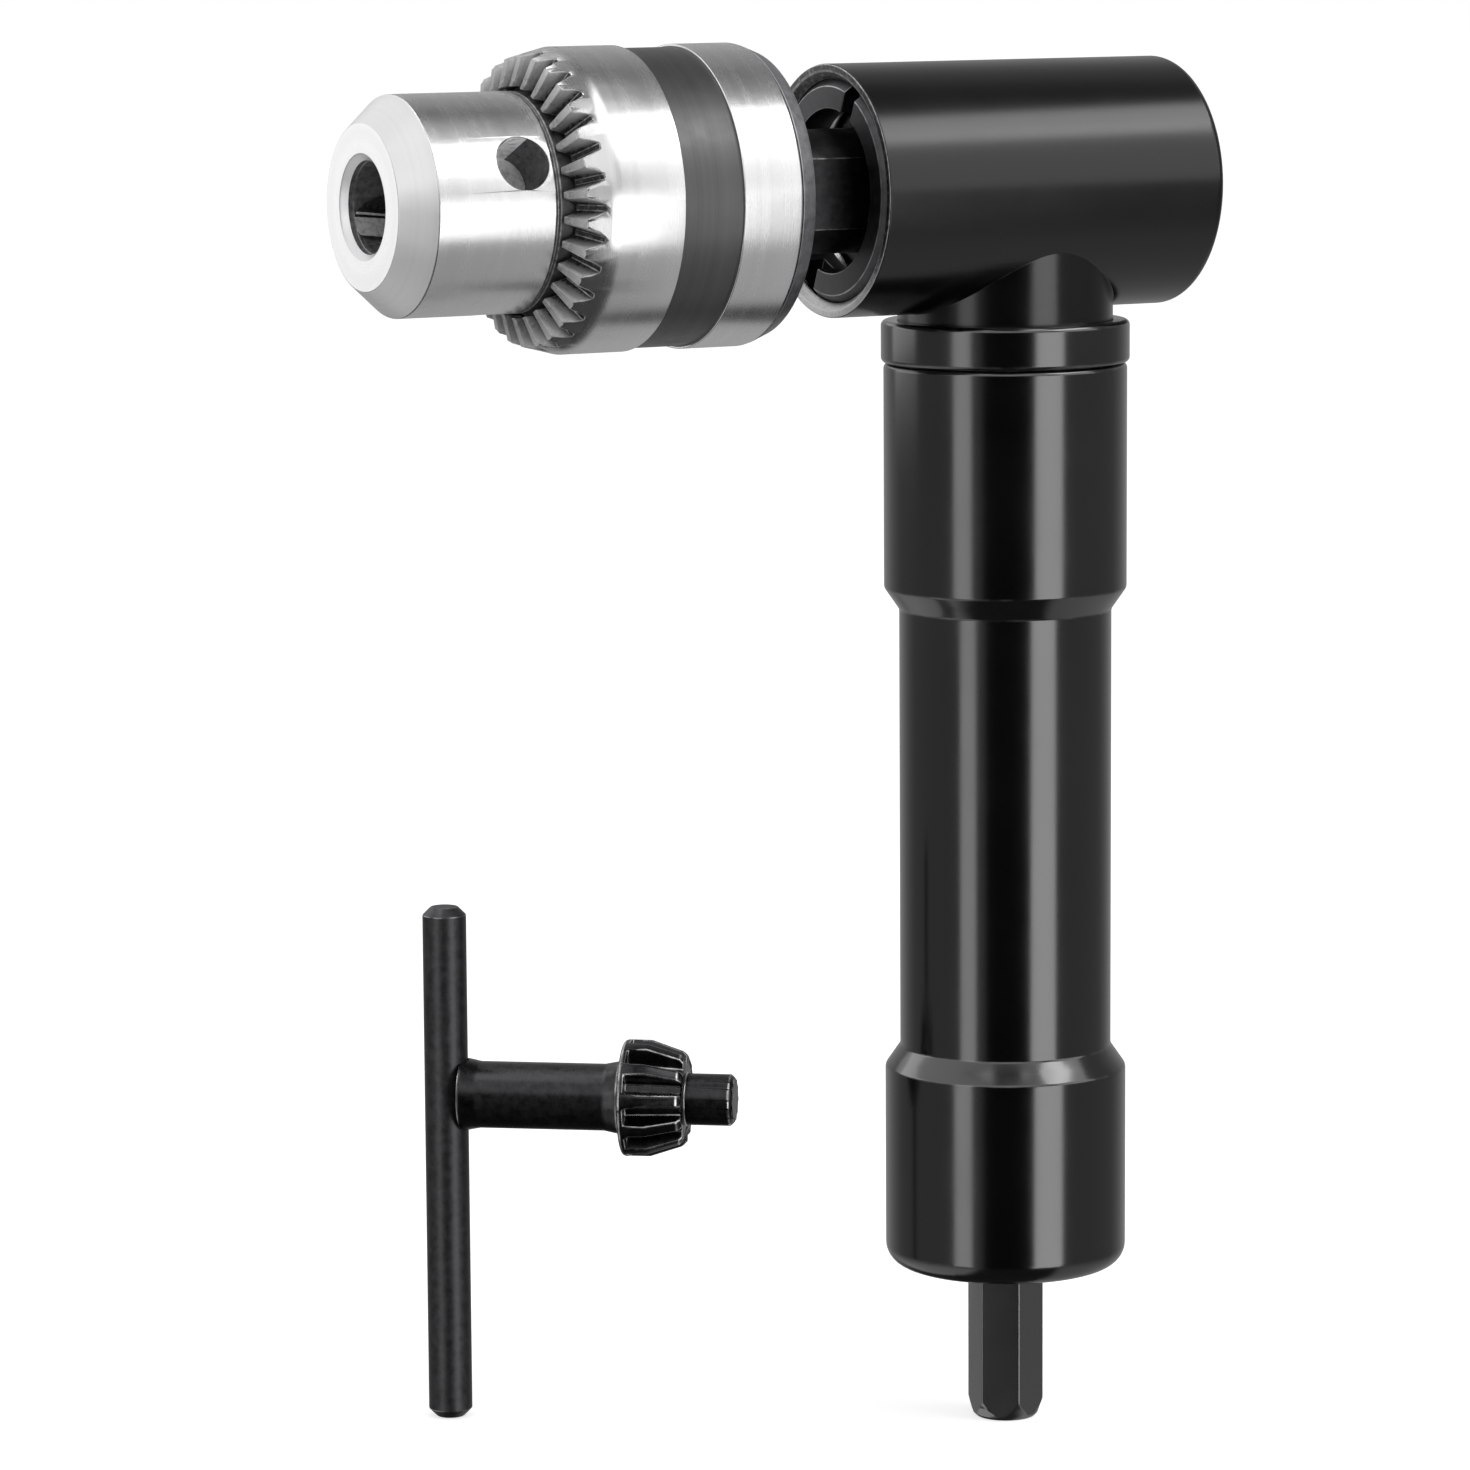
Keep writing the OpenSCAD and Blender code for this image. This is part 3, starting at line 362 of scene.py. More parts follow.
def mottle_group():
    """Fine uneven patches of a chemical or anodised finish."""
    tree, start, end, new = group(
        "Mottle",
        [("Position", "NodeSocketVector", None), ("Patches per metre", "NodeSocketFloat", 900.0),
         ("Grains per metre", "NodeSocketFloat", 9000.0)],
        [("Patches", "NodeSocketFloat"), ("Grain", "NodeSocketFloat")])
    if new:
        patches = noise(tree, start.outputs["Position"], start.outputs["Patches per metre"], 4, 0.6)
        grain = noise(tree, start.outputs["Position"], start.outputs["Grains per metre"], 2)
        tree.links.new(span(tree, patches, 0.3, 0.7), end.inputs["Patches"])
        tree.links.new(grain, end.inputs["Grain"])
    return tree


# Finishes


class Finish:
    """A material under way: its tree, its shader and the coordinates of the object."""

    def __init__(self, name, **constants):
        self.material = bpy.data.materials.new(name)
        self.material.use_nodes = True
        self.tree = self.material.node_tree
        self.tree.nodes.clear()
        output = self.tree.nodes.new("ShaderNodeOutputMaterial")
        self.shader = self.tree.nodes.new("ShaderNodeBsdfPrincipled")
        self.tree.links.new(self.shader.outputs[0], output.inputs["Surface"])
        for key, value in constants.items():
            self.shader.inputs[key.replace("_", " ")].default_value = value
        self.position = self.tree.nodes.new("ShaderNodeTexCoord").outputs["Object"]

    def place(self, made, **values):
        """A group placed in the material. An underscore in an input's name stands for a space."""
        put = add(self.tree, "ShaderNodeGroup", node_tree=made)
        for label, value in values.items():
            label = label.replace("_", " ")
            if isinstance(value, bpy.types.NodeSocket):
                self.tree.links.new(value, put.inputs[label])
            else:
                put.inputs[label].default_value = value
        return put.outputs

    def link(self, socket, value):
        """Feeds one of the shader's inputs."""
        self.tree.links.new(value, self.shader.inputs[socket])

    def blend(self, share, first, second):
        """Two colours mixed by a share that changes over the surface."""
        return add(self.tree, "ShaderNodeMix", {0: share, 6: first, 7: second}, data_type="RGBA").outputs[2]

    def colour(self, share, first, second):
        """Feeds the shader's colour with a blend of two."""
        self.link("Base Color", self.blend(share, first, second))

    def roughness(self, spots, low, high):
        """Feeds the shader's roughness, between two values by the uneven patches."""
        self.link("Roughness", span(self.tree, spots["Patches"], 0, 1, low, high))

    def bump(self, height, depth):
        """Feeds the shader's normal from a height, its depth in metres."""
        made = add(self.tree, "ShaderNodeBump", {"Height": height, "Distance": depth})
        self.link("Normal", made.outputs["Normal"])

    def marked_bump(self, marks, spots, weight, depth):
        """A bump of turning marks, by their weight, over the grain."""
        height = maths(self.tree, "MULTIPLY", marks["Height"], weight)
        self.bump(maths(self.tree, "ADD", height, spots["Grain"]), depth)

    def attribute(self, name):
        """A value that the mesh carries at its points."""
        return add(self.tree, "ShaderNodeAttribute", attribute_name=name).outputs["Fac"]

    def where(self, origin, axis):
        """Distance along and away from an axis, in millimetres."""
        return self.place(axis_group(), Position=self.position, Origin=origin, Axis=axis)

    def turned(self, origin, axis, per_mm):
        """The marks of turning about an axis."""
        where = self.where(origin, axis)
        return self.place(turned_group(), Along=where["Along"], Away=where["Away"], Marks_per_mm=per_mm)

    def worn(self, amount, patches=700.0):
        """The mask of the worn edges, from the mark that the rounding left on them."""
        return self.place(wear_group(), Edge=self.attribute("edge"), Position=self.position,
                          Amount=amount, Patches_per_metre=patches)["Mask"]

    def mottle(self, patches, grains):
        """Uneven patches and grain, so many to the metre."""
        return self.place(mottle_group(), Position=self.position,
                          Patches_per_metre=patches, Grains_per_metre=grains)


def rgba(colour, factor=1.0):
    """A colour of the settings as a socket value."""
    return (colour[0] * factor, colour[1] * factor, colour[2] * factor, 1)


def satin_black(name, origin, axis, finishes, gloss, rough):
    """Smooth satin black, with faint turning marks and lighter rubbed edges."""
    made = Finish(name, Metallic=0.0, IOR=gloss)
    marks = made.turned(origin, axis, 3.0)
    spots = made.mottle(60.0, 6000.0)
    made.colour(made.worn(finishes.wear * 0.5), rgba(finishes.black), rgba(finishes.oxide))
    made.roughness(spots, rough, rough + 0.05)
    made.marked_bump(marks, spots, 0.4, 0.0012 * MM)
    return made.material


def black_oxide(name, origin, axis, finishes, rough=0.36, factor=1.0, rubbed=0.7):
    """Chemically blackened steel: mottled, with grey rubbed edges."""
    made = Finish(name, Metallic=1.0)
    marks = made.turned(origin, axis, 4.0)
    spots = made.mottle(900.0, 12000.0)
    mottled = made.blend(spots["Patches"], rgba(finishes.oxide, 0.75 * factor),
                         rgba(finishes.oxide, 1.25 * factor))
    made.colour(made.worn(finishes.wear * rubbed), mottled, rgba(finishes.steel, 0.8))
    made.roughness(spots, rough - 0.04, rough + 0.06)
    made.marked_bump(marks, spots, 0.6, 0.004 * MM)
    return made.material


def turned_steel(name, origin, axis, finishes, rough=0.3):
    """Bright turned steel, its rings fine and uneven."""
    made = Finish(name, Metallic=1.0)
    marks = made.turned(origin, axis, 9.0)
    spots = made.mottle(250.0, 15000.0)
    made.colour(marks["Shade"], rgba(finishes.steel, 0.86), rgba(finishes.steel, 1.08))
    patchy = maths(made.tree, "ADD", maths(made.tree, "MULTIPLY", marks["Shade"], 0.07),
                   maths(made.tree, "MULTIPLY", spots["Patches"], 0.02))
    made.link("Roughness", maths(made.tree, "ADD", patchy, rough - 0.08))
    made.bump(marks["Height"], 0.0022 * MM)
    return made.material


def rough_steel(name, colour, rough, finishes, patches=1500.0, depth=0.02 * MM, metal=0.85):
    """Cut or cast steel with a grainy surface and brighter edges."""
    made = Finish(name, Metallic=metal)
    spots = made.mottle(patches, 7000.0)
    shaded = made.blend(spots["Patches"], rgba(colour, 0.6), rgba(colour, 1.3))
    made.colour(made.worn(finishes.wear * 1.2, 1500.0), shaded, rgba(finishes.steel, 0.8))
    made.roughness(spots, rough - 0.08, rough + 0.08)
    made.bump(spots["Grain"], depth)
    return made.material


def worn_and_lit_rim(name, finishes):
    """The rim of the head's mouth: rough bare metal, rubbed in patches and lighter towards its foot as
    painted light.
    """
    made = Finish(name, Metallic=1.0)
    spots = made.mottle(1600.0, 7000.0)
    rise = add(made.tree, "ShaderNodeSeparateXYZ", {0: made.position}).outputs["Z"]
    # Painted light: the rim grows lighter towards its lower part, broken up by worn patches
    foot = span(made.tree, rise, FOOT_TOP, FOOT_LOW)
    rubbed = broken_up(made.tree, foot, spots["Patches"], 0.7, clamp=True)
    shaded = made.blend(rubbed, rgba(finishes.band, 0.7), rgba(finishes.steel, 0.85))
    made.colour(made.worn(finishes.wear * 1.6, 1500.0), shaded, rgba(finishes.steel, 0.9))
    made.roughness(spots, 0.36, 0.5)
    made.bump(spots["Grain"], 0.03 * MM)
    return made.material


def gear_steel(name, finishes):
    """Milled teeth: grainy grey steel, darkened towards the roots as painted shade."""
    made = Finish(name, Metallic=0.7)
    away = made.where(CROSSING, CHUCK_AXIS)["Away"]
    spots = made.mottle(2200.0, 9000.0)
    # Painted shade: the root mark, broken up by patches, darkens the teeth down in their roots and leaves
    # them lighter up towards the crests
    painted_root_shade = broken_up(made.tree, made.attribute("root"), spots["Patches"], 0.5)
    cut = made.blend(spots["Patches"], rgba(finishes.teeth, 0.6), rgba(finishes.teeth, 1.4))
    crest = made.blend(span(made.tree, away, CREST_FOOT_MM, CREST_TOP_MM), cut, rgba(finishes.steel, 0.85))
    rubbed = made.blend(span(made.tree, painted_root_shade, -0.2, 0.35), crest, cut)
    root_shaded = made.blend(span(made.tree, painted_root_shade, 0.35, 0.95), rubbed, rgba(finishes.oxide, 0.6))
    made.colour(made.worn(finishes.wear, 1800.0), root_shaded, rgba(finishes.steel, 0.8))
    made.roughness(spots, 0.42, 0.58)
    made.bump(spots["Grain"], 0.04 * MM)
    return made.material


def dark_band(name, finishes):
    """The sleeve's recessed band: brushed round and blackened."""
    made = Finish(name, Metallic=0.8)
    marks = made.turned(CROSSING, CHUCK_AXIS, 7.0)
    spots = made.mottle(500.0, 9000.0)
    made.colour(marks["Shade"], rgba(finishes.band, 0.7), rgba(finishes.band, 1.25))
    made.roughness(spots, 0.36, 0.46)
    made.marked_bump(marks, spots, 1.0, 0.004 * MM)
    return made.material


def chuck_steel(finishes):
    """The turned steel that the chuck's body and sleeve share."""
    name = "Turned steel"
    return bpy.data.materials.get(name) or turned_steel(name, CROSSING, CHUCK_AXIS, finishes)


# Shapes

# How a copy's mesh is cleaned: points closer than this are one, faces this flat
# are joined, and so are pairs of triangles that make a fair quad
MERGE_DISTANCE = 0.001 * MM
FLAT_ANGLE = math.radians(0.3)
QUAD_BEND = math.radians(12)
QUAD_SHAPE = math.radians(60)
# Edges bent more than this are rounded, in so many strips
SHARP_ANGLE = math.radians(25)
ROUND_STRIPS = 2


def link_object(name, data):
    """A new object in the scene."""
    made = bpy.data.objects.new(name, data)
    bpy.context.scene.collection.objects.link(made)
    return made


def cleaned(node):
    """The mesh of a CAD node with its triangles joined up, to be freed by the caller."""
    bm = bmesh.new()
    bm.from_mesh(frame["nodes"][node].data)
    bmesh.ops.remove_doubles(bm, verts=bm.verts, dist=MERGE_DISTANCE)
    bmesh.ops.dissolve_limit(bm, angle_limit=FLAT_ANGLE, verts=bm.verts, edges=bm.edges,
                             use_dissolve_boundaries=False)
    bmesh.ops.join_triangles(bm, faces=[f for f in bm.faces if len(f.verts) == 3],
                             angle_face_threshold=QUAD_BEND, angle_shape_threshold=QUAD_SHAPE)
    return bm


def is_sharp(edge):
    """Whether an edge is bent enough to be rounded."""
    return edge.is_manifold and edge.calc_face_angle(0) > SHARP_ANGLE


def round_edges(bm, mark, edges, width, clamp=False):
    """Rounds edges and marks the middle of each rounding.

    Where a face beside an edge is narrower than the rounding, the edge stays
    sharp. With clamp, the width shrinks till no two roundings meet.
    """
    rounded = []
    for edge in edges:
        if all(face.calc_area() > width * edge.calc_length() for face in edge.link_faces):
            rounded.append(edge)
        else:
            edge.smooth = False
    if not rounded:
        return
    made = bmesh.ops.bevel(bm, geom=rounded, offset=width, offset_type="OFFSET", segments=ROUND_STRIPS,
                           profile=0.5, affect="EDGES", clamp_overlap=clamp)
    strips = set(made["faces"])
    for vertex in made["verts"]:
        if all(face in strips for face in vertex.link_faces):
            vertex[mark] = 1.0


def rounded_copy(node, name, width, is_wide=None, wide=None, stays_sharp=None):
    """A copy of a CAD node whose sharp edges are rounded.

    The attribute "edge" marks the middle of each rounding. The edges that
    is_wide(edge) names take the width wide in place of width, and those that
    stays_sharp(edge) names are left as they are.
    """
    bm = cleaned(node)
    mark = bm.verts.layers.float.new("edge")
    if is_wide:
        round_edges(bm, mark, [e for e in bm.edges if is_sharp(e) and is_wide(e)], wide, clamp=True)
    marked = {v for v in bm.verts if v[mark] > 0}
    plain = []
    for edge in bm.edges:
        if not is_sharp(edge) or marked & set(edge.verts) or (is_wide and is_wide(edge)):
            continue
        if stays_sharp and stays_sharp(edge):
            edge.smooth = False
        else:
            plain.append(edge)
    round_edges(bm, mark, plain, width)
    for face in bm.faces:
        face.smooth = True
    mesh = bpy.data.meshes.new(name)
    bm.to_mesh(mesh)
    bm.free()
    made = link_object(name, mesh)
    made.modifiers.new("Even shading", "WEIGHTED_NORMAL").keep_sharp = True
    return made


def dress(piece, node, material):
    """Lets a rounded copy stand for its CAD node, with its finish and its body."""
    piece.data.materials.append(material)
    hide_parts(node)
    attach(piece, frame["nodes"][node]["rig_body"])


def paint(piece, material, test):
    """Gives the faces that pass test(middle, normal) a finish of their own."""
    piece.data.materials.append(material)
    index = len(piece.data.materials) - 1
    for face in piece.data.polygons:
        if test(face.center, face.normal):
            face.material_index = index


def refinish(nodes, material):
    """Gives CAD nodes that stay a finish."""
    for name in nodes:
        data = frame["nodes"][name].data
        data.materials.clear()
        data.materials.append(material)


def middle_of(edge):
    """The middle of an edge."""
    return (edge.verts[0].co + edge.verts[1].co) / 2


def chuck_place(point):
    """Distance along the chuck's line from the crossing, and away from it."""
    return -point.x, math.hypot(point.y, point.z - CROSSING.z)


# Tests of the chuck body's faces, by a face's middle and normal


def on_flange(middle, normal):
    """On the flange behind the sleeve."""
    return chuck_place(middle)[0] < FLANGE_FRONT


def on_cone(middle, normal):
    """On the cone at the nose's end."""
    return chuck_place(middle)[0] > CONE_LOW and 0.3 < -normal.x < 0.9


def in_bore(middle, normal):
    """On the wall of the nose's bore."""
    along, away = chuck_place(middle)
    return along > SLEEVE_TOP and away < BORE_R and abs(normal.x) < 0.5


def in_seat(middle, normal):
    """On the outside that the sleeve covers, where the gap beside the nose gets painted shade."""
    along, away = chuck_place(middle)
    return FLANGE_FRONT < along < SEAT_TOP and away > SEAT_R


def in_hole(middle, normal):
    """In one of the pilot holes."""
    return HOLE_FLOOR < chuck_place(middle)[1] < HOLE_TOP and any(
        (middle - place).cross(axis).length < HOLE_R for place, axis in KEY_HOLES)


def on_hole_floor(middle, normal):
    """On the floor of a pilot hole, which faces out along the hole."""
    return in_hole(middle, normal) and any(normal.dot(axis) > 0.8 for place, axis in KEY_HOLES)


# Tests of the sleeve's faces, by a face's middle and normal


def on_band(middle, normal):
    """On the floor of the recessed band."""
    along, away = chuck_place(middle)
    return BAND_LOW < along < BAND_HIGH and BAND_DEEP < away < BAND_SHALLOW


def in_groove(middle, normal):
    """On the ring gear, apart from the lands between its grooves."""
    out = Vector((0, middle.y, middle.z - CROSSING.z)).normalized()
    facing = Vector((-normal.x, normal.dot(out))).dot(LAND)
    return chuck_place(middle)[0] > GEAR_LOW and facing < LAND_NEAR


# Pieces


class DrillOperator(bpy.types.Operator):
    """What the operators share."""

    bl_options = {"REGISTER", "UNDO"}


class DRILL_OT_head(DrillOperator):
    """The bevel gear head with its neck, and the ring nut in its mouth."""

    bl_idname = "drill.head"
    bl_label = "Head"

    def execute(self, context):
        finishes = context.scene.drill_finishes

        def is_seam(edge):
            middle = middle_of(edge)
            return SEAM_LOW < middle.z < SEAM_TOP and SEAM_IN < math.hypot(middle.x, middle.y) < SEAM_OUT

        def on_rim(middle, normal):
            return chuck_place(middle)[0] > RIM_BACK and normal.x < -0.5

        shell = rounded_copy("head_housing", "head_shell", finishes.edge_round,
                             is_wide=is_seam, wide=finishes.saddle_round)
        dress(shell, "head_housing",
              satin_black("Satin black head", CROSSING, CHUCK_AXIS, finishes, gloss=1.55, rough=0.2))
        paint(shell, worn_and_lit_rim("Worn rim with painted light", finishes), on_rim)
        nut = rounded_copy("front_ring_nut", "ring_nut", finishes.fine_round)
        dress(nut, "front_ring_nut",
              black_oxide("Phosphated nut", CROSSING, CHUCK_AXIS, finishes,
                          rough=0.42, factor=1.8, rubbed=1.8))
        return {"FINISHED"}


class DRILL_OT_handle(DrillOperator):
    """The collar and the handle tube with its two bands."""

    bl_idname = "drill.handle"
    bl_label = "Handle"

    def execute(self, context):
        finishes = context.scene.drill_finishes
        black = satin_black("Satin black handle", Vector(), HANDLE_AXIS, finishes, gloss=1.92, rough=0.14)
        for node, name in (("handle_collar", "collar"), ("handle_tube", "handle")):
            dress(rounded_copy(node, name, finishes.edge_round), node, black)
        return {"FINISHED"}


class DRILL_OT_shafts(DrillOperator):
    """The input shaft with its hexagon shank, and the output spindle."""

    bl_idname = "drill.shafts"
    bl_label = "Shafts"

    def execute(self, context):
        finishes = context.scene.drill_finishes
        shank = rounded_copy("input_shaft", "shank", finishes.fine_round)
        dress(shank, "input_shaft",
              satin_black("Satin black shank", Vector(), HANDLE_AXIS, finishes, gloss=3.0, rough=0.2))
        spindle = rounded_copy("output_spindle", "spindle", finishes.fine_round)
        dress(spindle, "output_spindle", black_oxide("Blackened spindle", CROSSING, CHUCK_AXIS, finishes))
        return {"FINISHED"}


class DRILL_OT_chuck_body(DrillOperator):
    """The chuck's body: its nose with the pilot holes, and its dark flange behind the sleeve."""

    bl_idname = "drill.chuck_body"
    bl_label = "Chuck body"

    def execute(self, context):
        finishes = context.scene.drill_finishes
        hole_colour = [0.6 * c for c in finishes.grey_steel]
        floor_colour = [1.25 * c for c in finishes.steel]

        def is_inside(edge):
            along, away = chuck_place(middle_of(edge))
            return along < INSIDE_TOP and away < INSIDE_R

        body = rounded_copy("chuck_body", "chuck_nose", finishes.fine_round, stays_sharp=is_inside)
        dress(body, "chuck_body", chuck_steel(finishes))
        paint(body, black_oxide("Dark flange", CROSSING, CHUCK_AXIS, finishes,
                                rough=0.4, factor=6.5, rubbed=1.4), on_flange)
        paint(body, turned_steel("Turned cone", CROSSING, CHUCK_AXIS, finishes, rough=0.45), on_cone)
        # The bore's wall gets grey steel, darker than the nose
        paint(body, rough_steel("Grey bore steel", finishes.grey_steel, 0.5, finishes), in_bore)
        # The seat is coloured dark as painted shade in the gap between sleeve and nose
        paint(body, rough_steel("Seat in painted shade", finishes.band, 0.5, finishes), in_seat)
        paint(body, rough_steel("Drilled steel", hole_colour, 0.3, finishes), in_hole)
        paint(body, rough_steel("Drilled floor", floor_colour, 0.6, finishes, metal=0.0), on_hole_floor)
        return {"FINISHED"}


class DRILL_OT_sleeve(DrillOperator):
    """The chuck's sleeve, with its ring gear and its recessed band."""

    bl_idname = "drill.sleeve"
    bl_label = "Chuck sleeve"

    def execute(self, context):
        finishes = context.scene.drill_finishes
        sleeve = rounded_copy("chuck_sleeve", "sleeve", finishes.fine_round)
        dress(sleeve, "chuck_sleeve", chuck_steel(finishes))
        paint(sleeve, dark_band("Dark band", finishes), on_band)
        paint(sleeve, gear_steel("Milled teeth", finishes), in_groove)
        self.mark_roots(sleeve.data)
        return {"FINISHED"}

    @staticmethod
    def mark_roots(mesh):
        """Writes how near each point of the ring gear is to the roots of its teeth, for the painted shade in
        the roots.
        """
        root = mesh.attributes.new("root", "FLOAT", "POINT")
        for vertex in mesh.vertices:
            along, away = chuck_place(vertex.co)
            depth = (ROOT_AT_NOSE - ROOT_FALL * (away - ROOT_R)) - along
            if along > GEAR_LOW:
                root.data[vertex.index].value = min(max(1 + depth / ROOT_SHADE, 0), 1)


class DRILL_OT_jaws(DrillOperator):
    """The chuck's three jaws."""

    bl_idname = "drill.jaws"
    bl_label = "Jaws"

    def execute(self, context):
        finishes = context.scene.drill_finishes
        steel = rough_steel("Jaw steel", finishes.grey_steel, 0.4, finishes, patches=600.0, depth=0.006 * MM)
        for node, name in (("jaw_one", "first_jaw"), ("jaw_two", "second_jaw"), ("jaw_three", "third_jaw")):
            dress(rounded_copy(node, name, finishes.fine_round), node, steel)
        return {"FINISHED"}


class DRILL_OT_key(DrillOperator):
    """The chuck key: its cross bar, and its stem with gear and pilot."""

    bl_idname = "drill.key"
    bl_label = "Chuck key"

    def execute(self, context):
        finishes = context.scene.drill_finishes
        stem = rounded_copy("key_shank", "key_stem", finishes.edge_round)
        dress(stem, "key_shank",
              black_oxide("Blackened key stem", KEY_PLACE, KEY_AXIS, finishes, rough=0.27, rubbed=1.6))
        bar_middle = sum(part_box("key_bar"), Vector()) / 2
        bar = rounded_copy("key_bar", "key_handle", finishes.fine_round)
        dress(bar, "key_bar",
              black_oxide("Blackened key bar", bar_middle, HANDLE_AXIS, finishes, rough=0.42, factor=1.6))
        return {"FINISHED"}


class DRILL_OT_inner(DrillOperator):
    """Finishes of the bearings, gears, keys, rings and screw, which keep their CAD shape."""

    bl_idname = "drill.inner"
    bl_label = "Inner pieces"

    def execute(self, context):
        finishes = context.scene.drill_finishes
        nodes = frame["nodes"]
        bearing = turned_steel("Bearing steel", CROSSING, CHUCK_AXIS, finishes, rough=0.2)
        upright = turned_steel("Upright bearing steel", Vector(), HANDLE_AXIS, finishes, rough=0.2)
        rings = [n for n in nodes if n.endswith(("_outer", "_inner"))]
        refinish([n for n in rings if n.startswith(("front", "rear"))], bearing)
        refinish([n for n in rings if n.startswith(("neck", "tail"))], upright)
        refinish(["front_bearing_shield"], bearing)
        refinish([n for n in nodes if n.endswith("_balls")],
                 turned_steel("Ball steel", CROSSING, CHUCK_AXIS, finishes, rough=0.14))
        refinish([n for n in nodes if n.endswith("_cage")],
                 rough_steel("Pressed brass", finishes.brass, 0.42, finishes,
                             patches=500.0, depth=0.005 * MM))
        refinish(["pinion_gear", "output_gear", "pinion_key", "output_gear_key", "spindle_spacer",
                  "nut_half_front", "nut_half_rear"],
                 rough_steel("Gear steel", finishes.grey_steel, 0.4, finishes,
                             patches=700.0, depth=0.006 * MM))
        refinish([n for n in nodes if n.endswith("_clip")] + ["chuck_screw"],
                 black_oxide("Spring steel", CROSSING, CHUCK_AXIS, finishes, rough=0.4, factor=1.3))
        return {"FINISHED"}


# Stage

# Directions of the photograph's view: to the camera, to its right and up, and
# how far to the right and up of the view's middle the tool's axes cross
TO_CAMERA = Vector((-0.47279505, -0.86969391, 0.14176514))
TO_RIGHT = Vector((0.87809877, -0.47843438, -0.00656522))
TO_TOP = Vector((0.07353505, 0.12137979, 0.98987855))
VIEW_SHIFT = Vector((32.01, 65.21)) * MM
SENSOR_MM = 36.0
CLIP_NEAR, CLIP_FAR = 0.01, 30
# Level directions to the camera and to its right
FORWARD = Vector((TO_CAMERA.x, TO_CAMERA.y, 0)).normalized()
SIDEWAYS = Vector((-FORWARD.y, FORWARD.x, 0))
TOOL_MIDDLE = Vector((-0.01, 0, 0.09))
CARDS_R = 1.6
# The cards are open between two heights and up to a limit along X, as parts of
# the unit vector from the shank's tip to the card
GAP_LOW, GAP_HIGH = 0.3, 0.8
GAP_RIGHT = 0.2
FLOOR_R = 6.0
# How much the camera sees the floor lifted towards white
FLOOR_LIFT = 0.6


def softbox(name, radiance, turn, rise, width, height, distance=1.0, target=TOOL_MIDDLE):
    """A lamp of even brightness that faces a target.

    Its turn is in degrees to the right of the camera's level direction, and its
    rise in degrees over level.
    """
    turn, rise = math.radians(turn), math.radians(rise)
    data = bpy.data.lights.new(name, "AREA")
    data.shape = "RECTANGLE"
    data.size, data.size_y = width, height
    data.energy = radiance * math.pi * width * height
    lamp = link_object(name, data)
    level = FORWARD * math.cos(turn) + SIDEWAYS * math.sin(turn)
    out = level * math.cos(rise) + Vector((0, 0, math.sin(rise)))
    lamp.location = target + out * distance
    lamp.rotation_euler = out.to_track_quat("Z", "Y").to_euler()
    return lamp


def photo_camera(studio):
    """The camera at the photograph's view."""
    data = bpy.data.cameras.new("Camera")
    data.lens = studio.lens
    data.sensor_width = SENSOR_MM
    data.clip_start, data.clip_end = CLIP_NEAR, CLIP_FAR
    camera = link_object("Camera", data)
    turn = Matrix((TO_RIGHT, TO_TOP, TO_CAMERA)).transposed()
    place = CROSSING + TO_CAMERA * studio.distance - TO_RIGHT * VIEW_SHIFT.x - TO_TOP * VIEW_SHIFT.y
    camera.matrix_world = Matrix.Translation(place) @ turn.to_4x4()
    bpy.context.scene.camera = camera


def white_room(studio):
    """The room: white to the camera and to gloss, and grey where it lights matt surfaces."""
    world = bpy.data.worlds.new("Studio room")
    bpy.context.scene.world = world
    world.use_nodes = True
    world.cycles.sampling_method = "NONE"
    tree = world.node_tree
    tree.nodes.clear()
    rays = tree.nodes.new("ShaderNodeLightPath").outputs
    seen = maths(tree, "MAXIMUM", rays["Is Camera Ray"],
                 maths(tree, "MAXIMUM", rays["Is Glossy Ray"], rays["Is Transmission Ray"]))
    shade = add(tree, "ShaderNodeBackground", {"Color": (1, 1, 1, 1), "Strength": studio.room})
    white = add(tree, "ShaderNodeBackground", {"Color": (1, 1, 1, 1), "Strength": 1.0})
    mix = add(tree, "ShaderNodeMixShader", {0: seen, 1: shade.outputs[0], 2: white.outputs[0]})
    output = tree.nodes.new("ShaderNodeOutputWorld")
    tree.links.new(mix.outputs[0], output.inputs["Surface"])


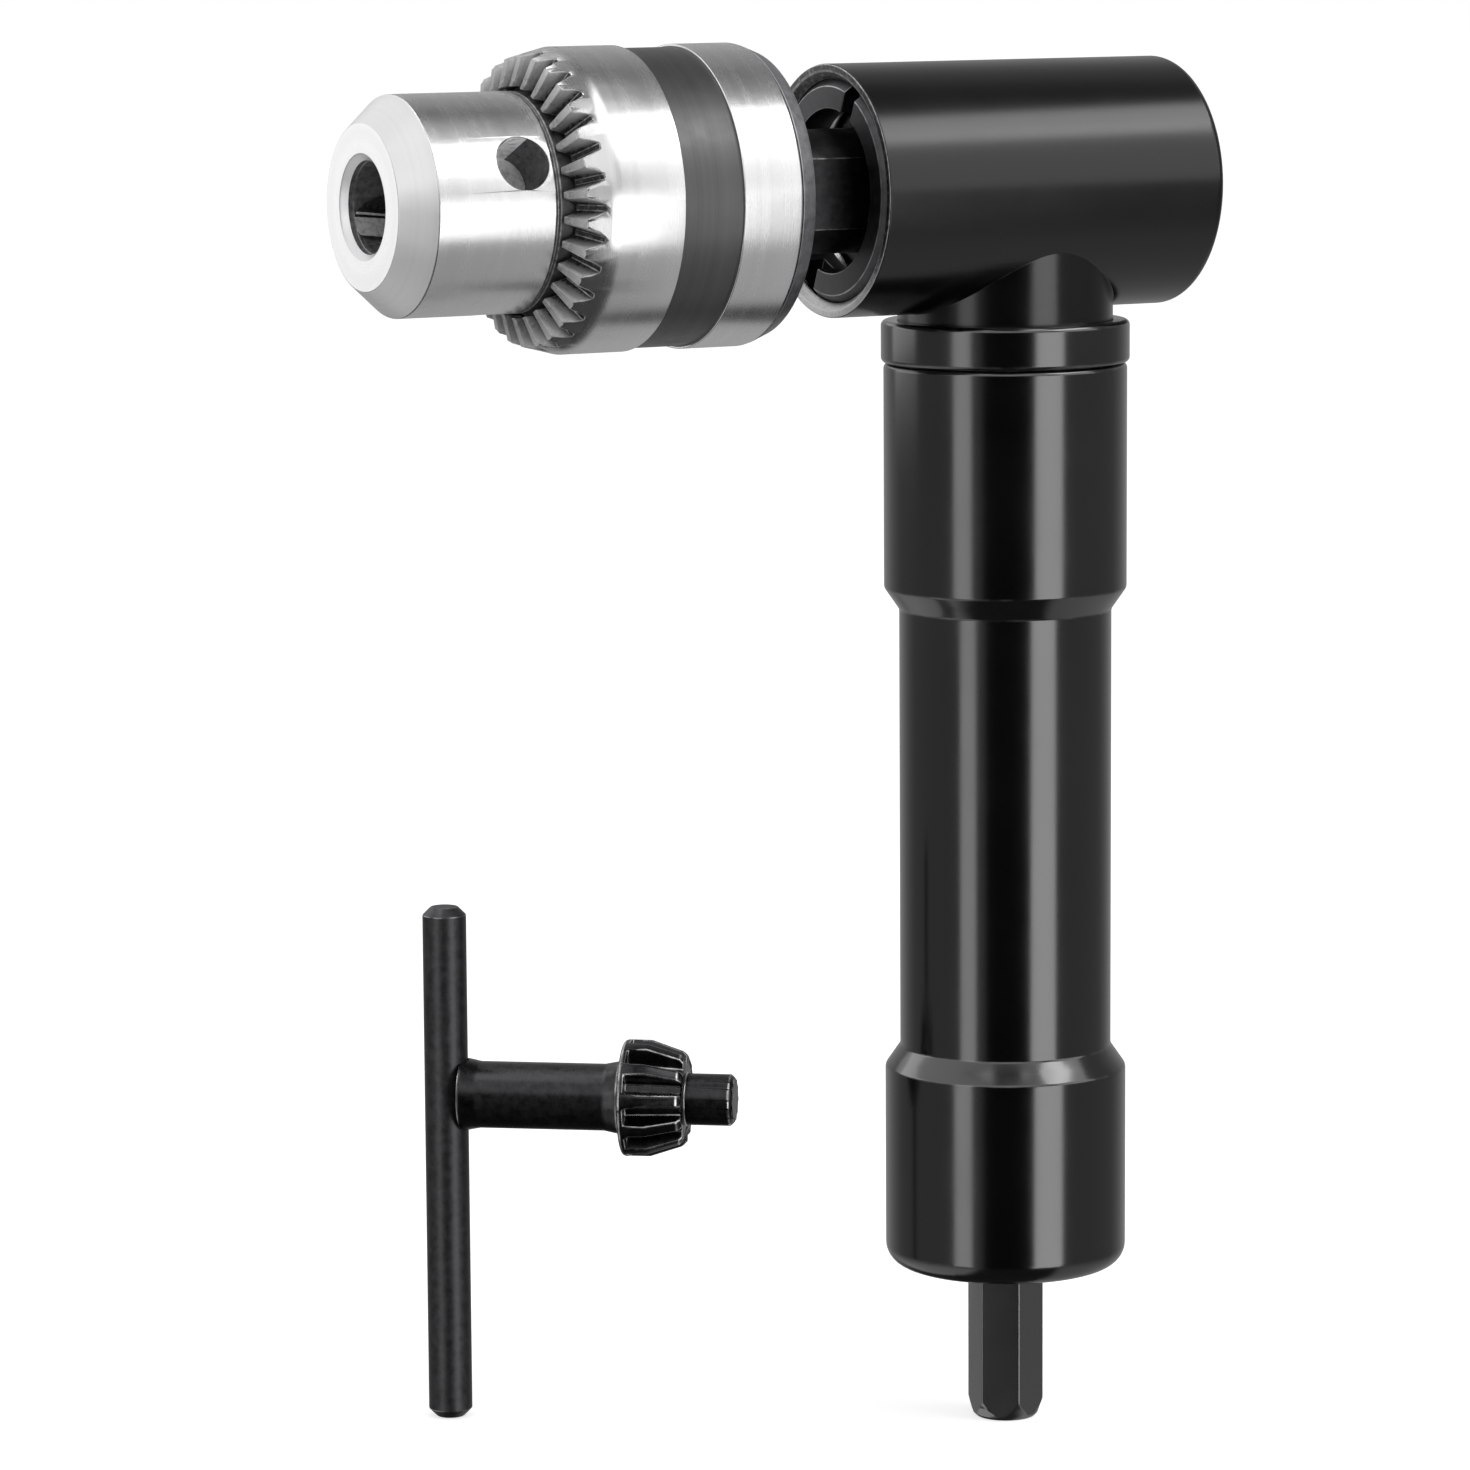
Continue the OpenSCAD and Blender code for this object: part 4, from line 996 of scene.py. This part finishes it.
def card_level(tree):
    """How bright the cards are in a direction, as a share of their setting.

    The spans of turn are in radians from the camera's level direction. The others
    are parts of the unit vector from the shank's tip to the card.
    """
    way = vectors(tree, "NORMALIZE", tree.nodes.new("ShaderNodeTexCoord").outputs["Object"]).outputs[0]
    ahead, aside = dot(tree, way, FORWARD), dot(tree, way, SIDEWAYS)
    split = add(tree, "ShaderNodeSeparateXYZ", {0: way}).outputs
    across, rise = split["X"], split["Z"]
    turn = maths(tree, "ABSOLUTE", maths(tree, "ARCTAN2", aside, ahead))
    dark_front = span(tree, turn, 0.38, 0.45, 0.03, 1.0)
    bright_back = span(tree, turn, 2.1, 2.6, 1.0, 2.0)
    # Low down: brighter on the left, where the nose's cone looks, and dark under the handle
    bright_left = span(tree, aside, -0.4, -0.5, 2.2, 3.4)
    under_handle = maths(tree, "MINIMUM", span(tree, aside, -0.5, -0.4), span(tree, across, 0.4, 0.3))
    below = lean(tree, bright_left, under_handle, 0.2)
    # Overhead: a bright streak on each side, which the slope over the lower band shows
    side = maths(tree, "ABSOLUTE", aside)
    streak = maths(tree, "MINIMUM", span(tree, side, 0.14, 0.22), span(tree, side, 0.46, 0.4))
    streak = maths(tree, "MINIMUM", streak, span(tree, across, 0.3, 0.22))
    overhead = span(tree, streak, 0, 1, 0.5, 14.0)
    level = maths(tree, "MULTIPLY", dark_front, bright_back)
    level = lean(tree, level, span(tree, rise, -0.3, -0.6), below)
    level = lean(tree, level, span(tree, rise, 0.5, 0.75), 1.4)
    return lean(tree, level, span(tree, rise, 0.82, 0.88), overhead)


def is_gap(way):
    """Whether the cards are open in a direction: high on the left."""
    return GAP_LOW < way.z < GAP_HIGH and way.x < GAP_RIGHT


def grey_cards(studio):
    """Cards round the tool that give its gloss dark and grey parts, open where the room shows white."""
    mesh = bpy.data.meshes.new("grey_cards")
    bm = bmesh.new()
    bmesh.ops.create_uvsphere(bm, u_segments=90, v_segments=45, radius=CARDS_R)
    gaps = [f for f in bm.faces if is_gap(f.calc_center_median().normalized())]
    bmesh.ops.delete(bm, geom=gaps, context="FACES")
    bm.to_mesh(mesh)
    bm.free()
    material = bpy.data.materials.new("Grey card")
    material.use_nodes = True
    material.cycles.emission_sampling = "NONE"
    tree = material.node_tree
    tree.nodes.clear()
    strength = maths(tree, "MULTIPLY", card_level(tree), studio.cards)
    glow = add(tree, "ShaderNodeEmission", {"Strength": strength})
    output = tree.nodes.new("ShaderNodeOutputMaterial")
    tree.links.new(glow.outputs[0], output.inputs["Surface"])
    mesh.materials.append(material)
    cards = link_object("grey_cards", mesh)
    for sight in ("visible_camera", "visible_diffuse", "visible_transmission", "visible_shadow"):
        setattr(cards, sight, False)


def white_floor(studio):
    """A round floor that shows the tool's shadow and goes over into the white room."""
    mesh = bpy.data.meshes.new("floor")
    bm = bmesh.new()
    bmesh.ops.create_circle(bm, cap_ends=True, segments=96, radius=FLOOR_R)
    bm.to_mesh(mesh)
    bm.free()
    floor = link_object("floor", mesh)
    material = bpy.data.materials.new("Pale floor")
    material.use_nodes = True
    tree = material.node_tree
    tree.nodes.clear()
    seen = tree.nodes.new("ShaderNodeLightPath").outputs["Is Camera Ray"]
    matt = add(tree, "ShaderNodeBsdfDiffuse", {"Color": rgba(studio.floor)})
    lift = add(tree, "ShaderNodeEmission", {"Color": (1, 1, 1, 1), "Strength": FLOOR_LIFT})
    both = add(tree, "ShaderNodeAddShader", {0: matt.outputs[0], 1: lift.outputs[0]})
    mix = add(tree, "ShaderNodeMixShader", {0: seen, 1: matt.outputs[0], 2: both.outputs[0]})
    output = tree.nodes.new("ShaderNodeOutputMaterial")
    tree.links.new(mix.outputs[0], output.inputs["Surface"])
    mesh.materials.append(material)
    floor.visible_glossy = False
    floor.visible_shadow = False


class DRILL_OT_stage(DrillOperator):
    """The camera at the photograph's view, the lamps, the room and the floor."""

    bl_idname = "drill.stage"
    bl_label = "Stage"

    def execute(self, context):
        studio = context.scene.drill_studio
        photo_camera(studio)
        softbox("Left light", studio.left_light, turn=-43, rise=-1, width=0.313, height=0.93)
        softbox("Right light", studio.right_light, turn=40, rise=-10, width=0.49, height=0.66)
        softbox("Side light", studio.side_light, turn=72, rise=26, width=0.74, height=0.78)
        softbox("Top light", studio.top_light, turn=78, rise=49, width=0.7, height=0.3)
        nose_panel = softbox("Nose light", studio.nose_light, turn=-123, rise=2, width=0.2, height=0.11,
                             distance=0.25, target=NOSE)
        nose_panel.visible_camera = False
        grey_cards(studio)
        white_room(studio)
        white_floor(studio)
        context.scene.view_settings.view_transform = "Standard"
        return {"FINISHED"}


class DRILL_PT_panel(bpy.types.Panel):
    """The attachment's settings and pieces."""

    bl_label = "Right Angle Drill Attachment"
    bl_idname = "DRILL_PT_panel"
    bl_space_type = "VIEW_3D"
    bl_region_type = "UI"
    bl_category = "Drill"

    def draw(self, context):
        for settings in (context.scene.drill_finishes, context.scene.drill_studio):
            column = self.layout.column()
            for name in settings.__annotations__:
                column.prop(settings, name)
        for made in OPERATORS:
            self.layout.operator(made.bl_idname)


OPERATORS = (DRILL_OT_stage, DRILL_OT_head, DRILL_OT_handle, DRILL_OT_shafts, DRILL_OT_chuck_body,
             DRILL_OT_sleeve, DRILL_OT_jaws, DRILL_OT_key, DRILL_OT_inner)
CLASSES = (DrillFinishes, DrillStudio, *OPERATORS, DRILL_PT_panel)


def register():
    """Adds the settings, the operators and the panel."""
    for made in CLASSES:
        bpy.utils.register_class(made)
    bpy.types.Scene.drill_finishes = bpy.props.PointerProperty(type=DrillFinishes)
    bpy.types.Scene.drill_studio = bpy.props.PointerProperty(type=DrillStudio)


def unregister():
    """Takes them away again."""
    del bpy.types.Scene.drill_studio
    del bpy.types.Scene.drill_finishes
    for made in reversed(CLASSES):
        bpy.utils.unregister_class(made)


def main():
    """Makes the whole scene."""
    register()
    for made in OPERATORS:
        area, name = made.bl_idname.split(".")
        getattr(getattr(bpy.ops, area), name)()


if __name__ == "__main__":
    main()
